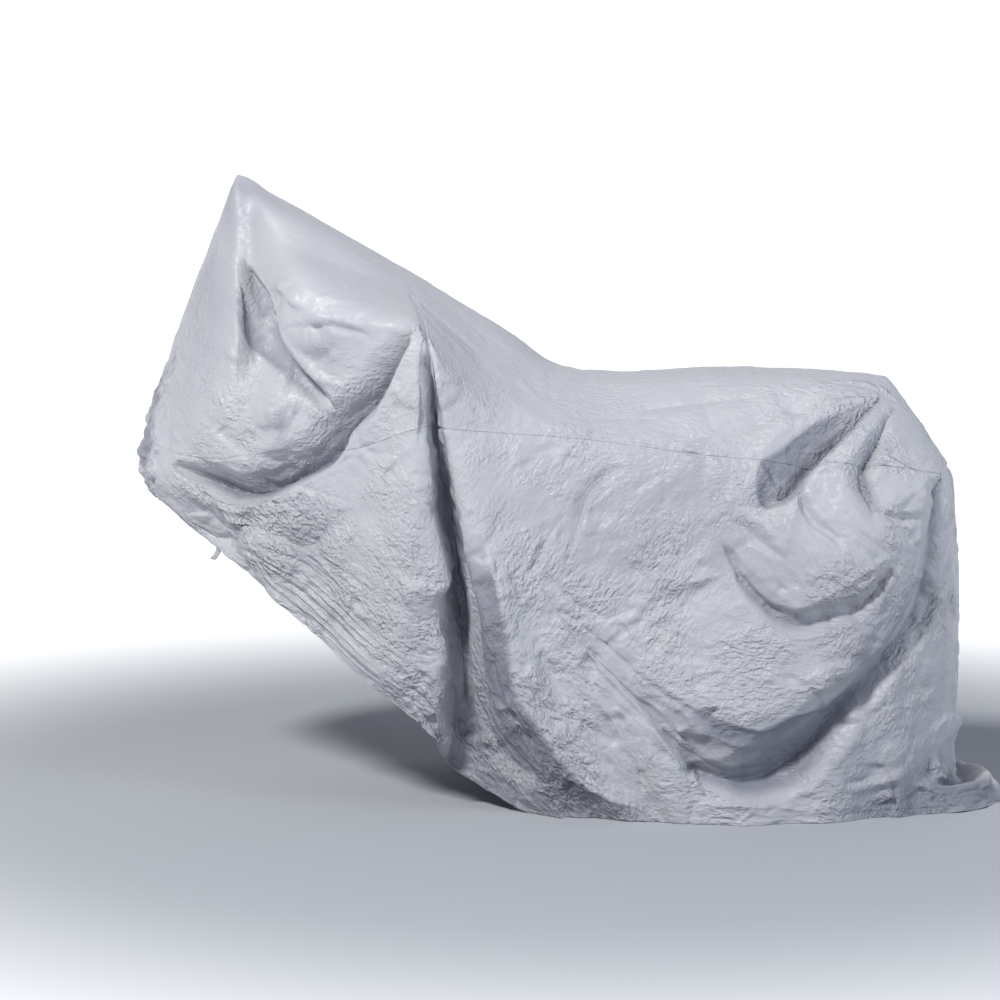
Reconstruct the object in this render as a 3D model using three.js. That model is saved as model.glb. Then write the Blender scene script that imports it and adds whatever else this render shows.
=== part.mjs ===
// Fitted motorcycle cover: one hollow shell of sewn cloth panels in its draped shape.
// Millimetres, +Z up, floor at z = 0. The nose points to -X, the tail to +X, the left side to -Y.
import * as THREE from 'three';

// Driving dimensions
const SHEET = 3;            // cloth with its crinkle, outer to inner face
const SEAM_GAP = 0.34;      // clear distance between two sewn panels
const LEAN = 0.08;          // sideways lean of the whole cover per unit of height
const RIGHT_WIDTH = 0.9;    // right half-width over left half-width
const STRAP = { length: 44, width: 15, thick: 2, tucked: 6, gap: 1.1, rib: 2 };
const CAP = { along: 0.25, out: 0.45, drop: 0.2 };   // rounding of the ridge: shares of the way to the brow
const SWAY = { size: 7, waves: 1.7, right: 13 };     // hem: size, half-waves per rib, start on the right
const FACING = { least: 0.2, full: 0.6 };   // how far a cloth must face sideways to take side folds
const FOLD_SAMPLES = 6;     // straight pieces between two points of a fold's line
const PROBE = 0.02;         // step along and across the ribs when the cloth's slope is taken

// Rows of a rib, from the ridge down to the hem, and the strips of cloth between them
const ROWS = ['ridge', 'cap', 'brow', 'cheek', 'seam', 'flank', 'shin', 'ankle', 'toe', 'hem'];
const STRIPS = [1, 2, 4, 4, 5, 6, 6, 3, 2];
const SEAM_ROW = ROWS.indexOf('seam');
const ANKLE_ROW = ROWS.indexOf('ankle');
const TOE_ROW = ROWS.indexOf('toe');
const HEM_ROW = ROWS.indexOf('hem');

// Ribs from the nose round the left side to the tail. Each point is [x, half-width, height];
// steps is the number of strips of cloth to the next rib.
const RIBS = [
  { name: 'nose', steps: 4, ridge: [-583, 0, 1392], brow: [-640, 0, 1270], cheek: [-695, 0, 1130],
    seam: [-742, 0, 1005], flank: [-795, 0, 850], shin: [-812, 0, 765], ankle: [-818, 0, 710],
    toe: [-813, 0, 680], hem: [-800, 0, 655] },
  { name: 'nose side', steps: 3, ridge: [-583, 0, 1392], brow: [-628, 45, 1240],
    cheek: [-705, 100, 1010], seam: [-772, 128, 800], flank: [-784, 130, 760],
    shin: [-785, 132, 722], ankle: [-777, 128, 690], toe: [-765, 122, 665], hem: [-750, 112, 645] },
  { name: 'facet', steps: 4, ridge: [-583, 0, 1392], brow: [-572, 98, 1245], cheek: [-552, 200, 1000],
    seam: [-592, 232, 762], flank: [-612, 225, 700], shin: [-612, 215, 650], ankle: [-615, 202, 610],
    toe: [-618, 192, 583], hem: [-620, 185, 562] },
  { name: 'hollow', steps: 4, ridge: [-556, 0, 1378], brow: [-528, 108, 1232],
    cheek: [-492, 180, 1040], seam: [-508, 262, 775], flank: [-520, 265, 695], shin: [-520, 262, 630],
    ankle: [-522, 258, 570], toe: [-522, 252, 538], hem: [-522, 247, 505] },
  { name: 'mirror', steps: 5, ridge: [-520, 0, 1357], brow: [-450, 135, 1242],
    cheek: [-408, 242, 1130], seam: [-425, 285, 783], flank: [-425, 292, 690], shin: [-425, 298, 600],
    ankle: [-427, 300, 520], toe: [-428, 298, 475], hem: [-430, 296, 438] },
  { name: 'arm', steps: 5, ridge: [-400, 0, 1289], brow: [-320, 150, 1195], cheek: [-250, 298, 1082],
    seam: [-250, 325, 798], flank: [-250, 335, 680], shin: [-250, 345, 540], ankle: [-250, 352, 420],
    toe: [-250, 358, 350], hem: [-250, 362, 303] },
  { name: 'grip', steps: 2, ridge: [-216, 0, 1183], brow: [-165, 155, 1130], cheek: [-98, 342, 1040],
    seam: [-98, 357, 850], flank: [-88, 369, 700], shin: [-76, 383, 520], ankle: [-68, 392, 340],
    toe: [-66, 395, 230], hem: [-70, 388, 160] },
  { name: 'pleat', steps: 2, ridge: [-205, 0, 1177], brow: [-152, 150, 1122], cheek: [-86, 332, 1030],
    seam: [-72, 305, 848], flank: [-52, 288, 700], shin: [-34, 288, 520], ankle: [-24, 300, 330],
    toe: [-22, 320, 190], hem: [-22, 344, 80] },
  { name: 'tuck', steps: 3, ridge: [-198, 0, 1173], brow: [-145, 148, 1118], cheek: [-81, 328, 1026],
    seam: [-58, 318, 847], flank: [-38, 320, 700], shin: [-14, 325, 520], ankle: [25, 348, 280],
    toe: [65, 370, 120], hem: [110, 388, 0] },
  { name: 'crest', steps: 4, ridge: [-190, 0, 1169], brow: [-136, 147, 1113], cheek: [-76, 330, 1022],
    seam: [-50, 333, 846], flank: [-28, 347, 700], shin: [2, 368, 526], ankle: [95, 390, 320],
    toe: [180, 402, 165], hem: [275, 405, 0] },
  { name: 'knee', steps: 4, ridge: [-30, 0, 1077], brow: [8, 105, 1012], cheek: [42, 212, 935],
    seam: [75, 278, 832], flank: [100, 315, 690], shin: [148, 350, 500], ankle: [215, 376, 300],
    toe: [300, 395, 130], hem: [380, 405, 0] },
  { name: 'seat front', steps: 5, ridge: [176, 0, 960], brow: [213, 88, 938], cheek: [243, 150, 893],
    seam: [275, 228, 814], flank: [290, 282, 660], shin: [330, 334, 450], ankle: [390, 372, 250],
    toe: [440, 394, 100], hem: [480, 405, 0] },
  { name: 'seat', steps: 5, ridge: [480, 0, 965], brow: [495, 84, 948], cheek: [505, 152, 888],
    seam: [530, 224, 778], flank: [530, 276, 620], shin: [540, 326, 420], ankle: [560, 368, 220],
    toe: [580, 391, 90], hem: [600, 402, 0] },
  { name: 'pillion', steps: 4, ridge: [690, 0, 968], brow: [700, 80, 948], cheek: [710, 142, 885],
    seam: [725, 218, 765], flank: [725, 276, 620], shin: [735, 311, 430], ankle: [745, 327, 230],
    toe: [755, 343, 90], hem: [765, 352, 0] },
  { name: 'tail side', steps: 4, ridge: [820, 0, 951], brow: [835, 76, 928], cheek: [850, 140, 872],
    seam: [865, 208, 765], flank: [880, 250, 620], shin: [880, 256, 430], ankle: [880, 257, 230],
    toe: [890, 263, 90], hem: [900, 268, 0] },
  { name: 'rear corner', steps: 2, ridge: [884, 0, 943], brow: [912, 56, 893], cheek: [955, 100, 822],
    seam: [1000, 136, 745], flank: [985, 180, 560], shin: [938, 205, 375], ankle: [948, 214, 130],
    toe: [966, 222, 45], hem: [982, 228, 0] },
  { name: 'rear quarter', steps: 2, ridge: [884, 0, 943], brow: [928, 26, 885], cheek: [972, 48, 815],
    seam: [1010, 66, 750], flank: [1030, 80, 560], shin: [1030, 90, 375], ankle: [1036, 96, 28],
    toe: [1084, 112, 52], hem: [1116, 122, 0] },
  { name: 'rear', steps: 0, ridge: [884, 0, 943], brow: [930, 0, 882], cheek: [975, 0, 812],
    seam: [1014, 0, 748], flank: [1040, 0, 560], shin: [1046, 0, 375], ankle: [1058, 0, 22],
    toe: [1116, 0, 56], hem: [1144, 0, 0] },
];
const FRONT_SEAM_RIB = RIBS.findIndex((rib) => rib.name === 'nose side');
const REAR_SEAM_RIB = RIBS.findIndex((rib) => rib.name === 'rear corner');
const FAN_ENDS = [RIBS.findIndex((rib) => rib.name === 'facet'), REAR_SEAM_RIB];   // beyond: one ridge point
const LEFT = -1;
const RIGHT = 1;

// Folds on a side: the line of the fold as [x, z] points, its half-width and its height out of the
// cloth (below zero for a valley). soft is 2 for a round fold, less for a crisp one.
const LEFT_FOLDS = [
  { name: 'swag valley', half: 46, high: -50, soft: 2, taper: [0.7, 0.8],
    line: [[-125, 1035], [-182, 955], [-240, 890], [-303, 820], [-365, 770], [-430, 738], [-510, 722],
      [-590, 730], [-660, 742]] },
  { name: 'swag ridge', half: 26, high: 20, soft: 1.6,
    line: [[-125, 980], [-163, 915], [-236, 830], [-298, 758], [-369, 708], [-440, 672], [-507, 645]] },
  { name: 'swag branch', half: 22, high: 12, soft: 1.6, line: [[-690, 705], [-600, 660], [-510, 645]] },
  { name: 'gather valley', half: 24, high: -16, soft: 2, line: [[-503, 640], [-522, 600], [-570, 572]] },
  { name: 'fairing bulge', half: 75, high: 24, soft: 2, line: [[-620, 850], [-520, 880], [-430, 860]] },
  { name: 'mirror', half: 36, high: 42, soft: 2, line: [[-425, 1150], [-395, 1112]] },
  { name: 'mirror crease', half: 24, high: -26, soft: 1.6,
    line: [[-480, 1110], [-452, 1040], [-430, 975], [-425, 930], [-450, 880]] },
  { name: 'arm hollow', half: 34, high: -18, soft: 2, line: [[-380, 1010], [-330, 905]] },
  { name: 'shoulder', half: 30, high: 16, soft: 1.6, line: [[-385, 1100], [-304, 1080], [-200, 1068]] },
  { name: 'seat facet', half: 30, high: 10, soft: 1.4,
    line: [[-70, 1025], [-10, 975], [50, 920], [120, 870], [190, 848]] },
  { name: 'tail valley', half: 40, high: -28, soft: 2,
    line: [[800, 895], [743, 840], [689, 780], [650, 715]] },
  { name: 'tail corner valley', half: 32, high: -22, soft: 2,
    line: [[893, 875], [871, 820], [840, 765], [822, 700]] },
  { name: 'pocket fold', half: 16, high: -12, soft: 1.6, line: [[970, 735], [940, 690], [895, 655]] },
  { name: 'bag bulge', half: 90, high: 34, soft: 2, line: [[690, 620], [790, 575]] },
  { name: 'bag crescent', half: 32, high: -38, soft: 1.8, taper: [0.8, 0.5],
    line: [[553, 580], [590, 515], [640, 452], [690, 420], [750, 415], [810, 440], [850, 480]] },
  { name: 'small crescent', half: 22, high: -16, soft: 1.6,
    line: [[708, 716], [722, 669], [752, 625], [800, 590]] },
  { name: 'great valley', half: 54, high: -62, soft: 2, taper: [0.8, 0.6],
    line: [[990, 690], [975, 570], [937, 450], [889, 365], [840, 305], [780, 240], [700, 180],
      [620, 155], [530, 140]] },
  { name: 'great ridge', half: 42, high: 26, soft: 2,
    line: [[850, 395], [776, 305], [697, 275], [610, 235], [520, 245]] },
  { name: 'skirt valley', half: 36, high: -24, soft: 2,
    line: [[177, 530], [234, 470], [287, 390], [370, 290], [450, 200], [520, 140]] },
  { name: 'knee valley', half: 30, high: -18, soft: 2, line: [[310, 765], [260, 700], [215, 580]] },
  { name: 'middle ridge', half: 24, high: 12, soft: 1.6, line: [[490, 620], [440, 545], [400, 470]] },
];
const RIGHT_FOLDS = [
  { name: 'swag valley', half: 45, high: -36, soft: 2,
    line: [[-130, 1000], [-250, 860], [-420, 770], [-600, 735]] },
  { name: 'mirror', half: 42, high: 38, soft: 2, line: [[-425, 1150], [-395, 1120]] },
  { name: 'tail valley', half: 50, high: -30, soft: 2, line: [[860, 880], [760, 700], [600, 560]] },
  { name: 'great valley', half: 70, high: -48, soft: 2,
    line: [[960, 640], [860, 400], [700, 230], [480, 150]] },
  { name: 'skirt valley', half: 55, high: -30, soft: 2, line: [[60, 700], [190, 420], [400, 180]] },
  { name: 'fairing bulge', half: 80, high: 22, soft: 2, line: [[-600, 850], [-430, 880]] },
  { name: 'knee valley', half: 34, high: -22, soft: 2, line: [[330, 800], [280, 640], [300, 480]] },
  { name: 'bag crescent', half: 36, high: -30, soft: 1.6, line: [[560, 520], [650, 430], [780, 440]] },
  { name: 'bag bulge', half: 90, high: 28, soft: 2, line: [[660, 610], [760, 570]] },
  { name: 'apron valley', half: 30, high: -18, soft: 2, line: [[-520, 640], [-330, 560], [-180, 420]] },
  { name: 'tail ridge', half: 40, high: 20, soft: 1.6, line: [[905, 700], [880, 480], [830, 240]] },
];

// A smooth curve through four points, drawn between the middle two. The knots lie the square root of the
// distance apart, so that near and far points can follow each other without a loop.
function between(p, t) {
  const gap = (k) => Math.sqrt(Math.hypot(...p[k].map((v, axis) => p[k + 1][axis] - v)));
  const middle = gap(1) || 1;
  const [before, after] = [gap(0) || middle, gap(2) || middle];
  return [0, 1, 2].map((axis) => {
    const [a, b, c, d] = p.map((point) => point[axis]);
    const leave = ((b - a) / before - (c - a) / (before + middle)) * middle + c - b;
    const arrive = ((d - c) / after - (d - b) / (middle + after)) * middle + c - b;
    const u = 1 - t;
    return b * (1 + 2 * t) * u * u + leave * t * u * u + c * t * t * (3 - 2 * t) - arrive * t * t * u;
  });
}

function clamp(value, low, high) {
  return Math.min(high, Math.max(low, value));
}

// The row that rounds the ridge follows from the rows on both sides of it
function capPoint({ ridge, brow }) {
  const shares = [CAP.along, CAP.out, CAP.drop];
  return shares.map((share, axis) => ridge[axis] + share * (brow[axis] - ridge[axis]));
}

// The cloth before its folds: across is the place along the ribs, down the place along a rib. Past the
// ridge and past the nose and tail the cloth goes on as its own mirror image.
function controlPoint(rib, row) {
  const last = RIBS.length - 1;
  const inRange = rib < 0 ? -rib : Math.min(rib, 2 * last - rib);
  const name = ROWS[Math.min(Math.abs(row), ROWS.length - 1)];
  const [x, half, z] = name === 'cap' ? capPoint(RIBS[inRange]) : RIBS[inRange][name];
  const flip = (rib < 0 || rib > last ? -1 : 1) * (row < 0 ? -1 : 1);
  return [x, half * flip, z];
}

function ribPoint(rib, down) {
  const row = clamp(Math.floor(down), 0, ROWS.length - 2);
  return between([-1, 0, 1, 2].map((k) => controlPoint(rib, row + k)), down - row);
}

function clothPoint(across, down, side) {
  const left = clamp(Math.floor(across), 0, RIBS.length - 2);
  const [x, half, z] = between([-1, 0, 1, 2].map((k) => ribPoint(left + k, down)), across - left);
  const width = side === LEFT ? half : half * RIGHT_WIDTH;
  return new THREE.Vector3(x, side * width - LEAN * z, z);
}

// The folds of one side as smooth lines, and how far they lift a point of the cloth
function smoothFold(fold) {
  const curve = new THREE.SplineCurve(fold.line.map(([x, z]) => new THREE.Vector2(x, z)));
  return { ...fold, points: curve.getPoints(FOLD_SAMPLES * (fold.line.length - 1)) };
}

const FOLDS = { left: LEFT_FOLDS.map(smoothFold), right: RIGHT_FOLDS.map(smoothFold) };

function foldHeight(point, folds) {
  const here = new THREE.Vector2(point.x, point.z);
  let height = 0;
  for (const fold of folds) {
    let nearest = Infinity;
    let along = 0;
    for (let k = 0; k + 1 < fold.points.length; k += 1) {
      const run = fold.points[k + 1].clone().sub(fold.points[k]);
      const t = clamp(here.clone().sub(fold.points[k]).dot(run) / run.lengthSq(), 0, 1);
      const away = here.distanceTo(fold.points[k].clone().addScaledVector(run, t));
      if (away < nearest) {
        nearest = away;
        along = (k + t) / (fold.points.length - 1);
      }
    }
    const [start, end] = fold.taper ?? [1, 1];
    const size = start + (end - start) * along;
    height += fold.high * size * Math.exp(-((nearest / fold.half) ** fold.soft));
  }
  return height;
}

// A point of the finished cloth, with its folds
function foldedPoint(across, down, side) {
  const here = clothPoint(across, down, side);
  const ahead = clothPoint(across + PROBE, down, side).sub(clothPoint(across - PROBE, down, side));
  const below = clothPoint(across, down + PROBE, side).sub(clothPoint(across, down - PROBE, side));
  const out = below.cross(ahead).multiplyScalar(-side).normalize();
  const facing = THREE.MathUtils.smoothstep(Math.abs(out.y), FACING.least, FACING.full);
  const free = THREE.MathUtils.smoothstep(down, 0, 1)
    * (1 - THREE.MathUtils.smoothstep(down, TOE_ROW, HEM_ROW));
  const folds = side === LEFT ? FOLDS.left : FOLDS.right;
  const low = THREE.MathUtils.smoothstep(down, ANKLE_ROW - 1, HEM_ROW);
  const sway = SWAY.size * Math.sin(SWAY.waves * across * Math.PI + (side === LEFT ? 0 : SWAY.right));
  here.addScaledVector(out, foldHeight(here, folds) * facing * free);
  here.y += side * sway * low * facing;
  here.z = Math.max(0, here.z);
  return here;
}

// Columns and rows of the cloth
const columns = RIBS.flatMap((rib, k) => Array.from({ length: rib.steps }, (_, n) => k + n / rib.steps));
columns.push(RIBS.length - 1);
const rows = STRIPS.flatMap((count, k) => Array.from({ length: count }, (_, n) => k + n / count));
rows.push(ROWS.length - 1);

const vertices = [];
const normals = [];
const vertexAt = new Map();

function vertex(i, j, side) {
  const across = j === 0 ? clamp(columns[i], ...FAN_ENDS) : columns[i];
  const shared = j === 0 || i === 0 || i === columns.length - 1;
  const key = [across, j, shared ? LEFT : side].join();
  if (!vertexAt.has(key)) {
    vertexAt.set(key, vertices.length);
    vertices.push(foldedPoint(across, rows[j], shared ? LEFT : side));
    normals.push(new THREE.Vector3());
  }
  return vertexAt.get(key);
}

// Triangles of one side between two columns and two rows, faces out. The right side has half the
// columns, and fans out to the full number at the ridge, where the sides meet.
function panel(side, [firstColumn, lastColumn], [firstRow, lastRow]) {
  const triangles = [];
  const add = (a, b, c) => {
    if (a !== b && b !== c && c !== a) triangles.push(side === LEFT ? [a, b, c] : [a, c, b]);
  };
  const step = side === LEFT ? 1 : 2;
  for (let i = firstColumn; i < lastColumn; i += step) {
    for (let j = firstRow; j < lastRow; j += 1) {
      const low = [vertex(i, j + 1, side), vertex(i + step, j + 1, side)];
      if (j === 0) {
        const middle = vertex(i + step - 1, 0, side);
        if (step === 2) add(vertex(i, 0, side), low[0], middle);
        add(middle, low[0], low[1]);
        add(middle, low[1], vertex(i + step, 0, side));
      } else {
        add(vertex(i, j, side), low[0], low[1]);
        add(vertex(i, j, side), low[1], vertex(i + step, j, side));
      }
    }
  }
  return triangles;
}

const columnOf = (rib) => columns.indexOf(rib);
const rowOf = (row) => rows.indexOf(row);
const noseColumns = [0, columnOf(FRONT_SEAM_RIB)];
const sideColumns = [columnOf(FRONT_SEAM_RIB), columnOf(REAR_SEAM_RIB)];
const tailColumns = [columnOf(REAR_SEAM_RIB), columns.length - 1];
const crownRows = [0, rowOf(SEAM_ROW)];
const skirtRows = [rowOf(SEAM_ROW), rows.length - 1];

const PANELS = {
  crown_panel: [
    ...panel(LEFT, [0, columns.length - 1], crownRows),
    ...panel(RIGHT, [0, columns.length - 1], crownRows),
  ],
  left_skirt: panel(LEFT, sideColumns, skirtRows),
  right_skirt: panel(RIGHT, sideColumns, skirtRows),
  front_panel: [...panel(LEFT, noseColumns, skirtRows), ...panel(RIGHT, noseColumns, skirtRows)],
  rear_panel: [...panel(LEFT, tailColumns, skirtRows), ...panel(RIGHT, tailColumns, skirtRows)],
};

// One smooth set of normals for the whole cover, so that neighbouring panels share their edge planes
for (const [a, b, c] of Object.values(PANELS).flat()) {
  const ab = vertices[b].clone().sub(vertices[a]);
  const ac = vertices[c].clone().sub(vertices[a]);
  const face = ab.cross(ac);
  for (const k of [a, b, c]) normals[k].add(face);
}
normals.forEach((normal) => normal.normalize());

// Edges of a panel that only one of its triangles uses, running with that triangle
function openEdges(triangles) {
  const used = new Set(triangles.flatMap(([a, b, c]) => [`${a},${b}`, `${b},${c}`, `${c},${a}`]));
  return [...used].map((key) => key.split(',').map(Number)).filter(([a, b]) => !used.has(`${b},${a}`));
}

// A panel as a closed sheet: outer face, inner face and the cut edge round it
function sheet(triangles) {
  const edges = openEdges(triangles);
  const inward = new Map();
  for (const [a, b] of edges) {
    for (const k of [a, b]) {
      const run = vertices[b].clone().sub(vertices[a]);
      const across = normals[k].clone().cross(run).normalize();
      inward.set(k, (inward.get(k) ?? new THREE.Vector3()).add(across));
    }
  }
  const outer = (k) => {
    const point = vertices[k].clone();
    const pull = inward.get(k);
    if (pull) point.addScaledVector(pull, SEAM_GAP / pull.lengthSq());
    return point;
  };
  const inner = (k) => {
    const point = outer(k).addScaledVector(normals[k], -SHEET);
    point.z = Math.max(0, point.z);
    return point;
  };
  const corners = [];
  const face = (...points) => corners.push(...points);
  for (const [a, b, c] of triangles) {
    face(outer(a), outer(b), outer(c));
    face(inner(a), inner(c), inner(b));
  }
  for (const [a, b] of edges) {
    if (a < b) {
      face(outer(a), inner(a), inner(b));
      face(outer(a), inner(b), outer(b));
    } else {
      face(outer(b), outer(a), inner(a));
      face(outer(b), inner(a), inner(b));
    }
  }
  const geometry = new THREE.BufferGeometry().setFromPoints(corners);
  geometry.computeVertexNormals();
  return geometry;
}

// The strap end hangs out below the gathered hem beside the nose, flat against the inner face
function strapEnd() {
  const [column, last] = [columnOf(STRAP.rib), rows.length - 1];
  const hem = vertices[vertex(column, last, LEFT)];
  const beside = vertices[vertex(column + 1, last, LEFT)];
  const above = vertices[vertex(column, last - 1, LEFT)];
  const along = beside.clone().sub(hem).normalize();
  const out = hem.clone().sub(above).cross(beside.clone().sub(above)).normalize();
  const up = out.clone().cross(along).normalize();
  const geometry = new THREE.BoxGeometry(STRAP.width, STRAP.length, STRAP.thick);
  const middle = hem.clone().lerp(beside, 0.5)
    .addScaledVector(up, STRAP.tucked - STRAP.length / 2)
    .addScaledVector(out, -(SHEET + STRAP.thick / 2 + STRAP.gap));
  geometry.applyMatrix4(new THREE.Matrix4().makeBasis(along, up, along.clone().cross(up)));
  geometry.translate(middle.x, middle.y, middle.z);
  return geometry;
}

// Materials
const coatedCloth = (color) => new THREE.MeshStandardMaterial({ color, roughness: 0.42, metalness: 0.05 });
const MATERIALS = {
  crown_panel: coatedCloth(0xc6c8cc),
  left_skirt: coatedCloth(0xb2b6c1),
  right_skirt: coatedCloth(0xb2b6c1),
  front_panel: coatedCloth(0xbcbfc7),
  rear_panel: coatedCloth(0xaeb2be),
};
const webbing = new THREE.MeshStandardMaterial({ color: 0xd9dadd, roughness: 0.7, metalness: 0 });

// The cover, moved so that its origin is on the floor below the middle of its box
const cover = new THREE.Group();

function add(name, geometry, material) {
  const mesh = new THREE.Mesh(geometry, material);
  mesh.name = name;
  cover.add(mesh);
}

for (const [name, triangles] of Object.entries(PANELS)) add(name, sheet(triangles), MATERIALS[name]);
add('hem_tab', strapEnd(), webbing);

const box = new THREE.Box3().setFromObject(cover);
const middle = box.getCenter(new THREE.Vector3());
cover.position.set(-middle.x, -middle.y, -box.min.z);

export default cover;
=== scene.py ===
"""A fitted motorcycle cover of thin coated cloth, hollow, in its draped shape. Metres, +Z up.

The tables are in millimetres, in the drawing's own frame, as the cover was drafted: x runs from the
nose (-) to the tail (+) and z up from the floor. The made cloth is then moved onto the CAD frame.
"""
import math

import bmesh
import bpy
import numpy as np
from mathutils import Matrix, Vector


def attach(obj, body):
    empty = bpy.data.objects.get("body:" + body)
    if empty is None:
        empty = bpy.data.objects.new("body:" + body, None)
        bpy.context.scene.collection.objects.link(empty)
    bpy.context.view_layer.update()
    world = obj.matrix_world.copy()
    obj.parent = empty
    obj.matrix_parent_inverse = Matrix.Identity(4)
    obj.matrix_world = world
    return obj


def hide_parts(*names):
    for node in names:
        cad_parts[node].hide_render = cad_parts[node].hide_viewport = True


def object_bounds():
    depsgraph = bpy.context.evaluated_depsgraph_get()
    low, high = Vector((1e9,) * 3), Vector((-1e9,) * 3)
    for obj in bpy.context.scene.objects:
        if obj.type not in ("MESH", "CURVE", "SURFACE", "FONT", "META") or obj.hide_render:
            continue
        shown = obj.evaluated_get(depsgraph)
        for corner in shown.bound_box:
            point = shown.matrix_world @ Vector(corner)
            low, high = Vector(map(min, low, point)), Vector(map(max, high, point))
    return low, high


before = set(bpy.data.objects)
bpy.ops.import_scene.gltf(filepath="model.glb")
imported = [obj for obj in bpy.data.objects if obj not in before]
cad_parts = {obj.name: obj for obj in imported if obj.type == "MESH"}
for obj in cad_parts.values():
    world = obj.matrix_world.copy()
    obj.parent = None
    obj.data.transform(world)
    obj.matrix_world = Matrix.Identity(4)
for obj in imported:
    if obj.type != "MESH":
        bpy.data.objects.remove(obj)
cad_low, cad_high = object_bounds()

MM = 0.001
LEFT, RIGHT = -1, 1
LEAN = 0.08             # sideways lean of the whole cover per unit of height
CAP = (0.25, 0.45, 0.2)             # rounding of the ridge: shares of the way to the brow
SWAY = {"size": 7, "waves": 1.7}    # of the hem: its size, and half-waves per rib
FACING = (0.2, 0.6)     # how far a cloth must face sideways to take side folds
CLOSING = 0.15          # part of a rib's spacing within which the two sides come to meet
# Middle of the solids' box in the drawing's frame
DRAWN_MIDDLE = {"x": 162.97, "y": -33.56}

# Driving sizes of the fine cloth, in millimetres; far is how much coarser the right side is
CELL = {"across": 5.3, "crown": 7.6, "skirt": 6.1, "far": 2.5}
HEM = {"width": 15, "turn": 24, "thick": 2.2, "groove": 0.9, "stitch": 2.6, "least": 0.8}
SEAM = {
    "lap": 5, "thick": 1.0, "fell": 9, "raise": 0.4, "groove": 0.5, "stitch": 2.2, "crisp": 0.5,
    "quiet": 0.7, "least": 0.15, "fades": (-400, -310),
}
LEAST_HEIGHT = 0.5      # the cloth's lowest points lie this high above the floor
# Rows from the ridge over which its own lifts fade out and the relief comes in; how much calmer the
# creases are at the hem
RIDGE_FADE, RELIEF_IN, HEM_CALM = 3, 0.6, 0.5

ROWS = ["ridge", "cap", "brow", "cheek", "seam", "flank", "shin", "ankle", "toe", "hem"]
SEAM_ROW, ANKLE_ROW, TOE_ROW, HEM_ROW = (ROWS.index(name) for name in ("seam", "ankle", "toe", "hem"))

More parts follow.
